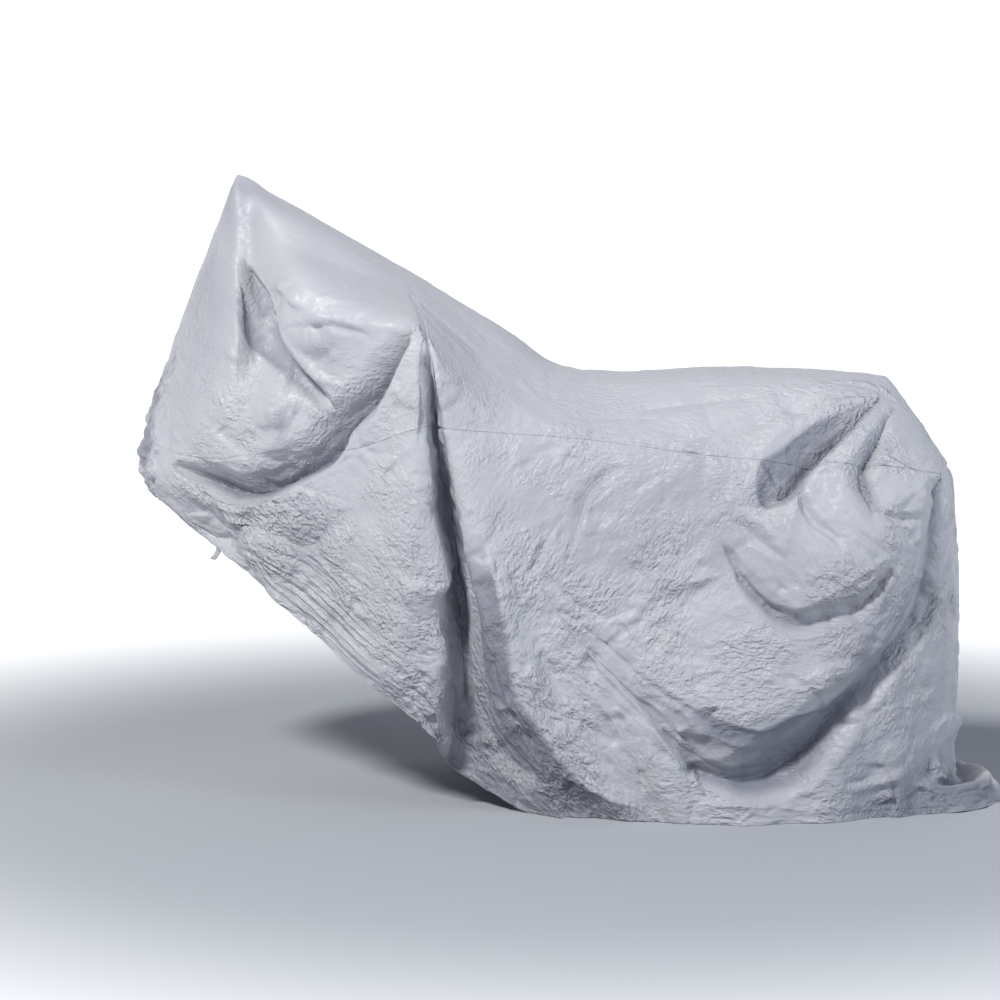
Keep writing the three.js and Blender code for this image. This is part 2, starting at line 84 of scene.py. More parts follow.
# Ribs from the nose round the left side to the tail: name, then (x, half-width, height) in each row
# but the cap
RIBS = [
    ("nose", (-583, 0, 1392), (-640, 0, 1270), (-695, 0, 1130), (-742, 0, 1005), (-795, 0, 850),
     (-812, 0, 765), (-818, 0, 710), (-813, 0, 680), (-800, 0, 655)),
    ("nose side", (-583, 0, 1392), (-628, 45, 1240), (-705, 100, 1010), (-772, 128, 800),
     (-784, 130, 760), (-785, 132, 722), (-777, 128, 690), (-765, 122, 665), (-750, 112, 645)),
    ("facet", (-583, 0, 1392), (-572, 98, 1245), (-552, 200, 1000), (-592, 232, 762), (-612, 225, 700),
     (-612, 215, 650), (-615, 202, 610), (-618, 192, 583), (-620, 185, 562)),
    ("hollow", (-556, 0, 1378), (-528, 108, 1232), (-492, 180, 1040), (-508, 262, 775), (-520, 265, 695),
     (-520, 262, 630), (-522, 258, 570), (-522, 252, 538), (-522, 247, 505)),
    ("mirror", (-520, 0, 1357), (-450, 135, 1242), (-408, 242, 1130), (-425, 285, 783), (-425, 292, 690),
     (-425, 298, 600), (-427, 300, 520), (-428, 298, 475), (-430, 296, 438)),
    ("arm", (-400, 0, 1289), (-320, 150, 1195), (-250, 298, 1082), (-250, 325, 798), (-250, 335, 680),
     (-250, 345, 540), (-250, 352, 420), (-250, 358, 350), (-250, 362, 303)),
    ("grip", (-216, 0, 1183), (-165, 155, 1130), (-98, 342, 1040), (-98, 357, 850), (-88, 369, 700),
     (-76, 383, 520), (-68, 392, 340), (-66, 395, 230), (-70, 388, 160)),
    ("pleat", (-205, 0, 1177), (-152, 150, 1122), (-86, 332, 1030), (-72, 305, 848), (-52, 288, 700),
     (-34, 288, 520), (-24, 300, 330), (-22, 320, 190), (-22, 344, 80)),
    ("tuck", (-198, 0, 1173), (-145, 148, 1118), (-81, 328, 1026), (-55, 318, 847), (-28, 320, 700),
     (0, 325, 520), (32, 348, 280), (65, 370, 120), (110, 388, 0)),
    ("crest", (-190, 0, 1169), (-136, 147, 1113), (-76, 330, 1022), (-48, 333, 846), (-16, 347, 700),
     (18, 368, 526), (98, 390, 320), (180, 402, 165), (275, 405, 0)),
    ("knee", (-30, 0, 1077), (8, 105, 1012), (42, 212, 935), (75, 278, 832), (100, 315, 690),
     (148, 350, 500), (215, 376, 300), (300, 395, 130), (380, 405, 0)),
    ("seat front", (176, 0, 960), (213, 88, 938), (243, 150, 893), (275, 228, 814), (290, 282, 660),
     (330, 334, 450), (390, 372, 250), (440, 394, 100), (480, 405, 0)),
    ("seat", (480, 0, 965), (495, 84, 948), (505, 152, 888), (530, 224, 784), (530, 276, 620),
     (540, 326, 420), (560, 368, 220), (580, 391, 90), (600, 402, 0)),
    ("pillion", (690, 0, 964), (700, 80, 948), (710, 142, 885), (725, 218, 775), (725, 276, 620),
     (735, 311, 430), (745, 327, 230), (755, 343, 90), (765, 352, 0)),
    ("tail side", (815, 0, 956), (835, 76, 928), (850, 140, 872), (865, 208, 769), (880, 250, 620),
     (880, 256, 430), (880, 257, 230), (890, 263, 90), (900, 268, 0)),
    ("rear corner", (873, 0, 950), (912, 56, 893), (955, 100, 822), (1000, 136, 745), (985, 180, 560),
     (938, 205, 375), (948, 214, 130), (966, 222, 45), (982, 228, 0)),
    ("rear quarter", (873, 0, 950), (928, 26, 885), (972, 48, 815), (1010, 66, 750), (1030, 80, 560),
     (1030, 90, 375), (1036, 96, 28), (1084, 112, 52), (1116, 122, 0)),
    ("rear", (873, 0, 950), (930, 0, 882), (975, 0, 812), (1014, 0, 748), (1040, 0, 560), (1046, 0, 375),
     (1058, 0, 22), (1116, 0, 56), (1144, 0, 0)),
]
RIB_NAMES = [rib[0] for rib in RIBS]
FRONT_SEAM_RIB = RIB_NAMES.index("nose side")
REAR_SEAM_RIB = RIB_NAMES.index("rear corner")
FAN_ENDS = (RIB_NAMES.index("facet"), REAR_SEAM_RIB)      # beyond these the ridge is one point

# Folds and creases: name, height out of the cloth (below zero for a valley), the half-widths on the
# left and on the right of the line as it is walked, the profile (2 a round bell, 1 a sharp one; below 1
# a straight wall whose outer edge is rounded by that share, and whose width shrinks with its height),
# the shares of the height along the line, and the line's (x, z) points. Lines run to the right or
# upwards, so that their left is above them.
LEFT_FOLDS = [
    ("swag valley", -54, 90, 18, 0.35, (0.25, 0.9, 1, 1, 0.9, 0.55),
     [(-695, 735), (-640, 710), (-580, 685), (-500, 680), (-400, 725), (-320, 765), (-270, 825),
      (-215, 885), (-165, 965), (-122, 1040)]),
    ("swag branch", 12, 24, 20, 1.5, (0.6, 1), [(-690, 705), (-610, 662), (-510, 645)]),
    ("gather valley", -14, 24, 24, 2, (1, 1), [(-570, 572), (-522, 600), (-503, 640)]),
    ("fairing bulge", 16, 75, 75, 2, (1, 1), [(-620, 850), (-520, 880), (-430, 860)]),
    ("mirror", 9, 18, 18, 1.6, (1, 1), [(-430, 1140), (-390, 1114)]),
    ("nose hollow", -50, 78, 22, 0.2, (0.3, 0.8, 1, 1, 0.9, 0.4),
     [(-305, 895), (-358, 940), (-412, 982), (-450, 1030), (-476, 1095), (-528, 1180)]),
    ("shoulder", 10, 34, 14, 1.3, (0.6, 1, 1), [(-385, 1100), (-310, 1077), (-235, 1066), (-130, 1060)]),
    ("shoulder facet", -13, 12, 34, 0.2, (0.3, 1, 0.8, 0.4),
     [(-412, 1058), (-360, 1062), (-305, 1066), (-225, 1050)]),
    ("arm facet", -12, 30, 14, 0.2, (0.4, 1, 0.5), [(-395, 1010), (-340, 985), (-300, 1010)]),
    ("elbow", 12, 16, 30, 0.3, (0.5, 1, 0.4), [(-420, 992), (-365, 962), (-315, 946), (-270, 932)]),
    ("elbow valley", -14, 30, 10, 0.2, (0.4, 1, 0.6), [(-395, 935), (-352, 905), (-322, 868)]),
    ("seat facet", 5, 40, 24, 1.2, (1, 1),
     [(-70, 1022), (0, 960), (65, 908), (110, 873), (160, 848), (225, 834)]),
    ("apron swell", 24, 150, 40, 1.7, (0.6, 1, 1, 0.5), [(-160, 270), (-134, 420), (-116, 600), (-106, 800)]),
    ("crest round", 17, 46, 80, 1.6, (0.5, 1, 0.8, 0.25, 0),
     [(100, 355), (75, 470), (40, 585), (12, 715), (-38, 850), (-72, 980)]),
    ("crest ridge", 26, 160, 80, 0.3, (0.2, 0.5, 0.9, 1, 0.8, 0.4),
     [(350, 35), (240, 88), (165, 190), (110, 285), (85, 410), (60, 520)]),
    ("tail valley", -54, 100, 16, 0.3, (0.55, 1, 1, 0.85, 0.25),
     [(640, 690), (672, 700), (715, 752), (755, 800), (812, 852), (854, 892)]),
    ("tail corner valley", -34, 44, 26, 0.3, (0.7, 1, 1, 0.8, 0.3),
     [(868, 672), (842, 722), (846, 762), (870, 808), (893, 872)]),
    ("pocket", 12, 44, 44, 2, (1, 1), [(930, 715), (965, 705)]),
    ("pocket under", -13, 12, 18, 0.2, (0.4, 1, 0.5), [(888, 666), (930, 656), (975, 656)]),
    ("bag bulge", 20, 90, 90, 2, (1, 1), [(690, 620), (790, 575)]),
    ("bag facet", -13, 34, 24, 0.1, (0.2, 1, 0.3), [(562, 650), (612, 618), (674, 570)]),
    ("bag facet edge", 8, 12, 26, 0.1, (0.5, 1, 0.5), [(672, 570), (690, 640), (708, 708)]),
    ("bag crescent", -32, 44, 26, 0.15, (0.3, 0.7, 1, 1, 0.9, 0.4),
     [(548, 588), (585, 532), (632, 476), (700, 426), (775, 442), (845, 466), (905, 535)]),
    ("small crescent", -17, 28, 10, 0.2, (0.3, 1, 0.8, 0.3),
     [(706, 722), (713, 690), (724, 668), (748, 642), (785, 612)]),
    ("great valley", -82, 104, 70, 0.1, (0.2, 0.75, 1, 0.85, 0.55, 0.42, 0.4, 0.35),
     [(480, 110), (570, 95), (630, 97), (705, 130), (760, 175), (815, 245), (862, 295), (922, 365),
      (985, 470), (1003, 600), (1003, 710)]),
    ("great ridge", 14, 42, 42, 2, (1, 1),
     [(520, 255), (610, 245), (697, 285), (776, 320), (850, 410)]),
    ("skirt valley", -28, 95, 14, 0.3, (0.12, 0.45, 0.8, 1),
     [(165, 492), (230, 405), (330, 300), (390, 240), (440, 180), (485, 115)]),
    ("knee valley", -13, 28, 8, 0.2, (0.2, 1, 1, 0.5),
     [(205, 540), (235, 625), (252, 695), (292, 742), (325, 758)]),
    ("knee valley left", -7, 18, 8, 0.2, (0.5, 1, 0.5), [(135, 545), (158, 585), (200, 652)]),
    ("middle ridge", 9, 24, 14, 0.4, (0.5, 1, 0.6), [(300, 385), (365, 455), (425, 540), (485, 615)]),
]
# Folds that also draw the hem in
LEFT_TUCKS = [
    ("foot tuck", -34, 190, 20, 0.4, (0.3, 0.7, 1, 1, 0.8, 0.4, 0.15),
     [(-100, 215), (-65, 160), (-20, 80), (60, 22), (140, -5), (260, -5), (380, -5)]),
]
# Part of a rib's spacing, and of a row's, within which the painted shade fades out at the middle lines
PAINTED_SHADE_FADE = 1.0
# Painted shade: places where the cloth's colour is darkened beyond what the depth of its folds gives; each is
# given as the folds are, with the strength of the painted shade for the height
LEFT_PAINTED_SHADE = [
    ("foot", 0.8, 150, 30, 0.4, (0.6, 1, 1, 0.7, 0.3, 0.1),
     [(-60, 250), (-20, 170), (20, 90), (90, 30), (190, 0), (330, -5)]),
    ("crest", 1.6, 215, 14, 0.5, (0.2, 0.4, 0.85, 1, 0.9, 0.75, 0.6),
     [(440, 8), (350, 33), (240, 86), (163, 190), (108, 285), (83, 410), (55, 520)]),
    ("pleat", 1.85, 40, 40, 0.5, (0.4, 0.5, 0.8, 1, 0.95, 0.75, 0.5),
     [(-10, 180), (-15, 270), (-25, 445), (-40, 605), (-56, 720), (-72, 850), (-90, 1000)]),
    ("apron shade", 0.4, 70, 70, 1.9, (1, 0.6), [(-360, 590), (-330, 530)]),
    ("low shade", 0.45, 80, 80, 1.9, (0.6, 1, 0.8), [(720, 130), (800, 140), (880, 150)]),
    ("swag", 0.75, 66, 12, 0.4, (0.4, 1, 1, 1, 0.7),
     [(-640, 712), (-500, 682), (-400, 727), (-310, 785), (-215, 887), (-135, 1020)]),
    ("great wall", 1.5, 8, 118, 0.5, (0.4, 1, 1, 0.9, 0.6, 0.5, 0.42, 0.4, 0.3),
     [(465, 258), (560, 220), (640, 200), (700, 232), (770, 245), (835, 310), (895, 380), (955, 485),
      (990, 590)]),
    ("rear streaks", 0.35, 30, 50, 0.8, (0.6, 1, 0.6), [(905, 345), (975, 430), (1005, 540)]),
    ("tail valley", 1.7, 14, 96, 0.6, (0.7, 1, 1, 0.7, 0.4),
     [(618, 700), (625, 765), (660, 792), (735, 857), (825, 897)]),
    ("corner valley", 1.0, 46, 14, 0.6, (0.6, 1, 0.6), [(862, 690), (848, 762), (884, 850)]),
    ("nose hollow", 0.85, 10, 96, 0.6, (0.4, 0.8, 1, 1, 0.9, 0.5),
     [(-330, 878), (-376, 918), (-432, 955), (-500, 1000), (-540, 1060), (-553, 1140)]),
    ("peak", 0.5, 90, 90, 1.9, (1, 1, 0.6), [(-583, 1385), (-560, 1290), (-545, 1200)]),
    ("nose face", 0.45, 90, 90, 1.9, (1, 1, 0.5), [(-640, 1170), (-625, 1100), (-660, 930)]),
    ("arm shade", 0.45, 60, 60, 1.9, (0.6, 1, 0.6), [(-375, 1000), (-320, 1020), (-270, 1045)]),
    ("skirt shade", 0.42, 130, 130, 1.9, (0.6, 1, 1, 0.8), [(195, 680), (325, 605), (450, 700), (560, 640)]),
    ("bag face", 0.5, 90, 90, 1.9, (1, 0.5), [(530, 620), (640, 580)]),
    ("bag", 0.7, 34, 16, 0.5, (0.4, 1, 1, 0.8, 0.4),
     [(590, 528), (650, 462), (720, 430), (790, 444), (870, 490)]),
    ("strip", 0.9, 30, 26, 0.7, (0.7, 1, 1, 0.7), [(-790, 690), (-788, 770), (-775, 860), (-748, 960)]),
    ("great shoulder", 0.8, 125, 10, 1.1, (0.3, 1, 1, 0.6), [(800, 285), (860, 345), (915, 420), (965, 520)]),
    ("rear foot", 1.7, 36, 36, 1.0, (0.3, 1, 1, 1), [(820, 16), (920, 22), (1050, 34), (1135, 40)]),
]
# Places along the ridge where the cloth lies lower or higher: x, reach along it and lift
RIDGE_LIFTS = [(-556, 22, 6), (130, 45, -9), (240, 45, 5)]
LEFT_CREASES = [
    ("facet edge", 15, 24, 14, 1.2, (0.8, 0), [(-540, 985), (-545, 1060), (-555, 1150), (-568, 1250)]),
    ("strip seam", -5, 6, 9, 1, (1, 0.4),
     [(-728, 660), (-724, 740), (-720, 810), (-722, 880), (-726, 950), (-722, 1005)]),
    ("chain upper", -5, 7, 9, 1, (0.8, 1), [(-440, 1000), (-462, 1042), (-438, 1122)]),
    ("chain lower", -7, 8, 10, 1, (0.5, 1), [(-452, 880), (-420, 918), (-414, 955), (-438, 1002)]),
    ("mirror cap", 4, 7, 9, 1.1, (1, 1), [(-448, 1144), (-420, 1155), (-384, 1130)]),
    ("mirror brim", -5, 7, 9, 1, (0.6, 1), [(-452, 1130), (-425, 1121), (-398, 1098), (-375, 1094)]),
    ("mirror nick", -4, 6, 7, 1, (1, 1), [(-428, 1126), (-410, 1146)]),
    ("arm lump", 7, 18, 16, 1.5, (1, 1), [(-372, 1052), (-335, 1070), (-300, 1052)]),
    ("arm lump low", 6, 16, 14, 1.4, (1, 1), [(-362, 1018), (-325, 1022), (-300, 1000)]),
    ("bowl line", -4, 10, 7, 1, (0.6, 0.7),
     [(-535, 792), (-490, 772), (-420, 764), (-355, 766), (-315, 778)]),
    ("swag inner", -6, 18, 9, 1.1, (0.6, 0.8), [(-365, 828), (-310, 850), (-240, 882), (-175, 932)]),
    ("swag inner low", -5, 14, 7, 1.1, (0.5, 0.8), [(-400, 765), (-340, 788), (-285, 842), (-225, 900)]),
    ("bowl dart", -6, 9, 8, 1, (0.7, 0.5), [(-635, 757), (-600, 732), (-565, 716), (-520, 700)]),
    ("bowl dart low", -7, 10, 8, 1, (0.5, 1), [(-700, 740), (-648, 727), (-600, 700), (-552, 675)]),
    ("gather spine", 7, 9, 11, 1.2, (1, 1), [(-543, 566), (-520, 592), (-496, 632), (-500, 664)]),
    ("gather dart", -6, 7, 7, 1.1, (1, 1), [(-577, 645), (-560, 616), (-540, 600)]),
    ("gather dart low", -6, 7, 7, 1.1, (1, 1), [(-615, 632), (-590, 602), (-564, 594)]),
    ("gather hem", -6, 6, 7, 1.1, (1, 1), [(-650, 594), (-615, 576), (-580, 572)]),
    ("heel crease", -6, 7, 7, 1, (1, 1), [(-120, 275), (-92, 308)]),
    ("heel crease long", -7, 8, 8, 1, (1, 0.6), [(-118, 276), (-72, 226), (-42, 168)]),
    ("heel crease short", -5, 6, 6, 1, (1, 0.7), [(-88, 288), (-60, 250), (-36, 200)]),
    ("pleat strip", 12, 16, 10, 1.4, (0.7, 1), [(-32, 130), (-22, 215), (-34, 300), (-50, 380)]),
    ("pleat core", -10, 10, 8, 1.2, (1, 0.5), [(-8, 170), (-4, 260), (-10, 360), (-24, 480)]),
    ("great edge", 6, 14, 8, 1.1, (0.4, 1, 1, 0.8, 0.5),
     [(465, 262), (560, 224), (640, 204), (700, 236), (770, 249), (835, 314), (895, 384), (955, 489)]),
    ("crest edge", 6, 8, 16, 1.1, (0.5, 1, 1, 0.4),
     [(350, 35), (240, 88), (165, 190), (110, 285), (85, 410), (50, 560)]),
    ("cross line one", -5, 7, 7, 1, (1, 1), [(300, 385), (365, 455), (425, 540), (485, 615)]),
    ("knee edge", 5, 7, 10, 1.1, (0.6, 1), [(205, 560), (226, 592), (236, 632)]),
    ("cross line one edge", 4, 5, 6, 1, (1, 1), [(350, 430), (398, 484), (448, 548)]),
    ("cross line two", -3, 6, 6, 1, (1, 1), [(424, 434), (460, 494), (502, 556)]),
    ("cross line three", -4, 6, 7, 1, (1, 1), [(314, 388), (402, 456)]),
    ("cross line four", 3, 6, 6, 1, (1, 1), [(398, 394), (426, 482)]),
    ("cross line five", 3, 6, 8, 1, (1, 1), [(420, 352), (470, 492)]),
    ("thigh line", -4, 7, 7, 1, (1, 1), [(180, 516), (230, 470), (272, 448)]),
    ("thigh line long", -4, 7, 8, 1, (1, 0.7), [(214, 446), (285, 390), (352, 338)]),
    ("thigh bow", -3, 6, 6, 1, (1, 1), [(225, 434), (305, 442), (362, 462)]),
    ("shin line one", -6, 8, 8, 1, (1, 0.8), [(264, 346), (330, 276), (376, 238), (446, 180), (492, 124)]),
    ("shin line one edge", 5, 6, 7, 1, (1, 1), [(294, 340), (362, 278), (424, 238)]),
    ("shin line two", -5, 7, 8, 1, (1, 0.8), [(300, 380), (400, 292), (470, 254), (582, 220)]),
    ("shin line three", -4, 6, 6, 1, (1, 1), [(180, 520), (236, 470), (286, 444)]),
    ("foot bulge", 8, 26, 22, 1.8, (1, 1), [(40, 90), (110, 50), (190, 22)]),
    ("crest dart", -3, 6, 6, 1, (1, 1), [(105, 300), (146, 280), (176, 246)]),
    ("crest dart low", -4, 6, 7, 1, (1, 1), [(170, 246), (245, 218), (316, 174)]),
    ("hollow line", -4, 7, 8, 1, (1, 1), [(250, 270), (316, 210)]),
    ("low smile", -3, 7, 6, 1, (1, 1), [(214, 160), (272, 182)]),
    ("seat streak one", -2, 6, 6, 1.2, (1, 1), [(140, 945), (276, 940)]),
    ("seat streak two", -2, 6, 6, 1.2, (1, 1), [(235, 862), (382, 860)]),
    ("seat streak three", -3, 10, 8, 1.2, (1, 1), [(365, 880), (470, 894), (586, 906)]),
    ("seat pull", -5, 10, 8, 1.1, (0.4, 1), [(468, 820), (522, 844), (600, 868), (682, 888)]),
    ("seat pull low", -4, 8, 7, 1.1, (0.6, 1), [(525, 804), (565, 832), (612, 856)]),
    ("tail dart", -6, 10, 10, 1.3, (1, 1), [(762, 850), (778, 864), (794, 888)]),
    ("tail dart low", -8, 10, 12, 1.3, (1, 0.6), [(636, 680), (636, 724), (652, 762)]),
    ("pocket line", -4, 6, 6, 1, (1, 1), [(898, 668), (932, 686), (960, 711), (982, 741)]),
    ("corner seam edge", 5, 6, 8, 1, (1, 1), [(900, 782), (930, 762), (966, 746), (998, 741)]),
    ("smile one", -7, 9, 9, 1, (0.7, 1), [(708, 716), (720, 674), (742, 644), (776, 624), (792, 614)]),
    ("smile two", -5, 7, 8, 1, (1, 0.7), [(730, 645), (756, 606), (797, 570)]),
    ("smile three", -4, 6, 6, 1, (1, 1), [(760, 710), (776, 686), (802, 664)]),
    ("bag rim", -8, 8, 8, 1, (0.8, 0.8), [(550, 571), (581, 530), (621, 484), (662, 459), (706, 445)]),
    ("bag lip", 6, 8, 8, 1.1, (0.8, 1),
     [(585, 548), (628, 502), (668, 476), (708, 464), (756, 482), (792, 504), (842, 538), (896, 572)]),
    ("bag tuck", -7, 9, 9, 1, (1, 0.7), [(706, 444), (765, 462), (820, 464), (866, 452)]),
    ("bag dart one", -5, 6, 7, 1, (1, 1), [(755, 455), (806, 415)]),
    ("bag dart two", -5, 6, 7, 1, (1, 1), [(812, 460), (876, 415)]),
    ("bunch one", -6, 7, 7, 1, (1, 1), [(826, 635), (860, 611), (896, 580)]),
    ("bunch two", -5, 6, 7, 1, (1, 1), [(836, 602), (868, 570)]),
    ("bunch three", -4, 6, 6, 1, (1, 1), [(800, 620), (846, 586), (880, 556)]),
    ("waist line", -4, 6, 6, 1, (1, 1), [(400, 505), (446, 565), (482, 615)]),
    ("waist line short", -3, 6, 6, 1, (1, 1), [(455, 445), (476, 495), (506, 555)]),
    ("cheek line one", -4, 7, 7, 1, (1, 1), [(695, 322), (740, 286), (768, 248)]),
    ("cheek line two", -3, 6, 6, 1, (1, 1), [(720, 300), (760, 306), (792, 316)]),
    ("ankle smudge", -6, 14, 12, 1.4, (1, 1), [(826, 80), (868, 92), (912, 102)]),
    ("hem fold", -4, 12, 8, 1.2, (0.6, 0.6), [(430, 66), (595, 54), (740, 52), (812, 40)]),
    ("hem fold low", 3, 8, 7, 1.2, (1, 1), [(510, 44), (640, 38), (775, 24)]),
    ("tail notch", -8, 12, 10, 1.1, (0.6, 1), [(960, 503), (1002, 508), (1040, 514)]),
]
RIGHT_FOLDS = [
    ("swag valley", -36, 45, 45, 2, (1, 1), [(-600, 735), (-420, 770), (-250, 860), (-130, 1000)]),
    ("mirror", 38, 42, 42, 2, (1, 1), [(-425, 1150), (-395, 1120)]),
    ("tail valley", -30, 50, 50, 2, (1, 1), [(600, 560), (760, 700), (860, 880)]),
    ("great valley", -48, 70, 70, 2, (1, 1), [(480, 150), (700, 230), (860, 400), (960, 640)]),
    ("skirt valley", -30, 55, 55, 2, (1, 1), [(60, 700), (190, 420), (400, 180)]),
    ("fairing bulge", 22, 80, 80, 2, (1, 1), [(-600, 850), (-430, 880)]),
    ("knee valley", -22, 34, 34, 2, (1, 1), [(330, 800), (280, 640), (300, 480)]),
    ("bag crescent", -30, 36, 36, 1.6, (1, 1), [(560, 520), (650, 430), (780, 440)]),
    ("bag bulge", 28, 90, 90, 2, (1, 1), [(660, 610), (760, 570)]),
    ("apron valley", -18, 30, 30, 2, (1, 1), [(-520, 640), (-330, 560), (-180, 420)]),
    ("tail ridge", 20, 40, 40, 1.6, (1, 1), [(830, 240), (880, 480), (905, 700)]),
]
RIGHT_CREASES = [
    ("mirror brim", -8, 10, 10, 1.1, (1, 1), [(-480, 1120), (-430, 1112), (-380, 1090)]),
    ("mirror chain", -7, 10, 10, 1, (1, 1), [(-440, 890), (-420, 960), (-450, 1060)]),
    ("swag inner", -6, 14, 9, 1.1, (1, 1), [(-540, 770), (-400, 790), (-260, 880), (-160, 960)]),
    ("apron fold one", -5, 9, 9, 1, (1, 1), [(-500, 560), (-330, 480), (-180, 380)]),
    ("apron fold two", -5, 8, 8, 1, (1, 1), [(-420, 500), (-280, 400), (-120, 320)]),
    ("seat pull", -5, 10, 8, 1.1, (1, 1), [(360, 810), (500, 850), (640, 880)]),
    ("thigh line", -5, 8, 8, 1, (1, 1), [(150, 600), (260, 480), (380, 400)]),
    ("shin line one", -6, 8, 8, 1, (1, 1), [(230, 360), (360, 230), (480, 120)]),
    ("shin line two", -5, 8, 8, 1, (1, 1), [(120, 420), (230, 250), (300, 90)]),
    ("bag rim", -7, 8, 8, 1, (1, 1), [(540, 540), (620, 450), (740, 420), (850, 470)]),
    ("smile", -6, 8, 8, 1, (1, 1), [(690, 700), (730, 640), (800, 600)]),
    ("great crease", -7, 10, 9, 1, (1, 1), [(560, 150), (720, 230), (860, 380), (940, 560)]),
    ("cross line", 4, 6, 6, 1, (1, 1), [(300, 520), (400, 600), (470, 680)]),
]

# How the small crinkles of the cloth lie round some places of each chart: the place and its reach, the
# slope of the streaks in degrees, their spread and length, and the heights of fine and broad crinkles.
GRAIN = ("across", "up", "reach", "slope", "spread", "length", "fine", "broad")
LEFT_GRAIN = [
    (-640, 1100, 120, 72, 40, 30, 0.7, 0.7),
    (-480, 1290, 120, -25, 25, 50, 0.05, 0.1),
    (-350, 1210, 140, -20, 25, 50, 0.1, 0.2),
    (-440, 1030, 90, -60, 30, 45, 0.8, 1.8),
    (-270, 1110, 80, 8, 20, 55, 0.5, 0.8),
    (-580, 880, 120, -30, 60, 30, 0.7, 1.2),
    (-330, 830, 90, 42, 22, 60, 0.8, 1.6),
    (-560, 620, 70, -50, 45, 30, 1.1, 2.2),
    (-380, 540, 110, -35, 16, 60, 1.4, 1.8),
    (-190, 660, 120, -38, 28, 30, 0.8, 0.8),
    (-170, 400, 110, -36, 14, 70, 1.0, 1.3),
    (10, 780, 90, 80, 40, 30, 0.5, 0.6),
    (100, 160, 150, -56, 16, 60, 1.4, 2.4),
    (160, 740, 110, 40, 80, 24, 0.8, 0.9),
    (350, 450, 190, 48, 70, 40, 0.9, 1.4),
    (300, 250, 130, -42, 50, 40, 1.2, 1.5),
    (450, 900, 160, 4, 10, 90, 0.35, 0.5),
    (500, 660, 120, 45, 60, 28, 0.8, 1.2),
    (720, 800, 110, 38, 22, 50, 1.0, 1.8),
    (690, 590, 90, -50, 40, 40, 0.5, 0.8),
    (840, 560, 90, -38, 25, 50, 1.1, 2.2),
    (650, 330, 130, 20, 80, 36, 0.8, 1.3),
    (930, 330, 110, 68, 28, 50, 1.3, 2.2),
    (650, 30, 130, 0, 7, 120, 0.7, 1.2),
    (950, 90, 90, 30, 70, 30, 1.0, 1.6),
]
RIGHT_GRAIN = [
    (-640, 1100, 200, 72, 50, 30, 0.5, 0.8),
    (-400, 1000, 140, -55, 50, 40, 0.8, 1.6),
    (-380, 600, 200, -35, 25, 55, 1.0, 1.6),
    (100, 300, 200, -55, 25, 60, 1.1, 2.0),
    (300, 650, 200, 45, 80, 35, 0.9, 1.3),
    (450, 900, 160, 4, 12, 90, 0.35, 0.5),
    (760, 700, 180, 35, 50, 45, 1.0, 1.8),
    (900, 300, 200, 65, 40, 45, 1.2, 2.0),
    (600, 30, 160, 0, 8, 110, 0.7, 1.2),
]
TOP_GRAIN = [
    (-450, 0, 250, 0, 25, 50, 0.1, 0.2),
    (450, 0, 500, 0, 9, 100, 0.35, 0.6),
    (950, 0, 150, 0, 60, 40, 0.8, 1.4),
]
FRONT_GRAIN = [
    (0, 1200, 150, 80, 30, 50, 0.4, 0.5),
    (0, 850, 170, 80, 14, 90, 1.2, 1.8),
    (0, 660, 70, 82, 12, 60, 1.4, 2.2),
]
REAR_GRAIN = [
    (0, 850, 130, 45, 50, 40, 0.8, 1.4),
    (0, 500, 260, 80, 30, 60, 0.9, 1.4),
    (0, 60, 120, 10, 40, 50, 1.2, 3.0),
]
# Thin creases that fan out between two guide lines: name, the guides, how many, height and half-width
LEFT_FANS = [
    ("apron", [(-500, 575), (-350, 525), (-265, 450), (-165, 375), (-100, 350)],
     [(-550, 535), (-455, 470), (-350, 392), (-230, 305), (-120, 245)], 18, 5, 5.5),
    ("apron high", [(-470, 615), (-380, 600), (-300, 575), (-230, 545), (-180, 520)],
     [(-500, 575), (-400, 545), (-330, 505), (-260, 450), (-200, 410)], 8, 3, 5),
    ("foot", [(62, 400), (92, 280), (150, 175), (222, 75)],
     [(-45, 290), (-12, 200), (35, 110), (95, 40)], 14, 5, 5.5),
    ("rear", [(905, 385), (945, 465), (985, 580)], [(925, 290), (985, 380), (1015, 500)], 9, 5, 6),
    ("great", [(500, 240), (580, 215), (640, 200), (700, 220)],
     [(420, 190), (500, 130), (590, 105), (680, 130)], 7, 4, 6),
    ("swag", [(-600, 745), (-480, 770), (-380, 800), (-280, 880)],
     [(-600, 700), (-500, 695), (-410, 735), (-320, 790)], 6, 4, 6),
]
# Streaks: which of the grain's heights they take, how many there are per square mm of a chart, their
# half-widths, and how much longer they are than the grain says
STREAKS = [
    {"height": "fine", "per_area": 0.005, "width": (4.0, 6.5), "longer": 1},
    {"height": "broad", "per_area": 0.0011, "width": (7, 14), "longer": 2.2},
    {"height": "broad", "per_area": 0.0003, "width": (3.5, 5.5), "longer": 3.2},
]
# Facets: their size, how much longer than wide they are, and the spread of their slope in radians; how
# high they stand over the thin creases between them, and the normal spread of their tilt
FACETS = [
    {"size": 58, "longer": 2.2, "spread": 0.4, "high": 1.2, "tilt": 0.055},
    {"size": 24, "longer": 1.8, "spread": 0.6, "high": 0.6, "tilt": 0.07},
]
# How the streaks differ: shares of the mean length and height, and the normal spreads of the slope, as a
# share of the grain's, and of the bend, as a share of the length
VARY = {"length": (0.5, 1.5), "height": (0.3, 1.2), "slope": 0.6, "bend": 0.12}
# How the creases of a fan differ: where they lie between the guides, where they start and end along
# them, and shares of the height, of both half-widths, and of the height at both ends
FAN = {
    "across": (0.1, 0.9), "start": (0, 0.45), "end": (0.6, 1), "height": (0.5, 1.3),
    "left": (0.7, 1.2), "right": (1, 1.8), "first": (0.3, 0.9), "last": (0.2, 0.8),
}
FAN_SEED = 21
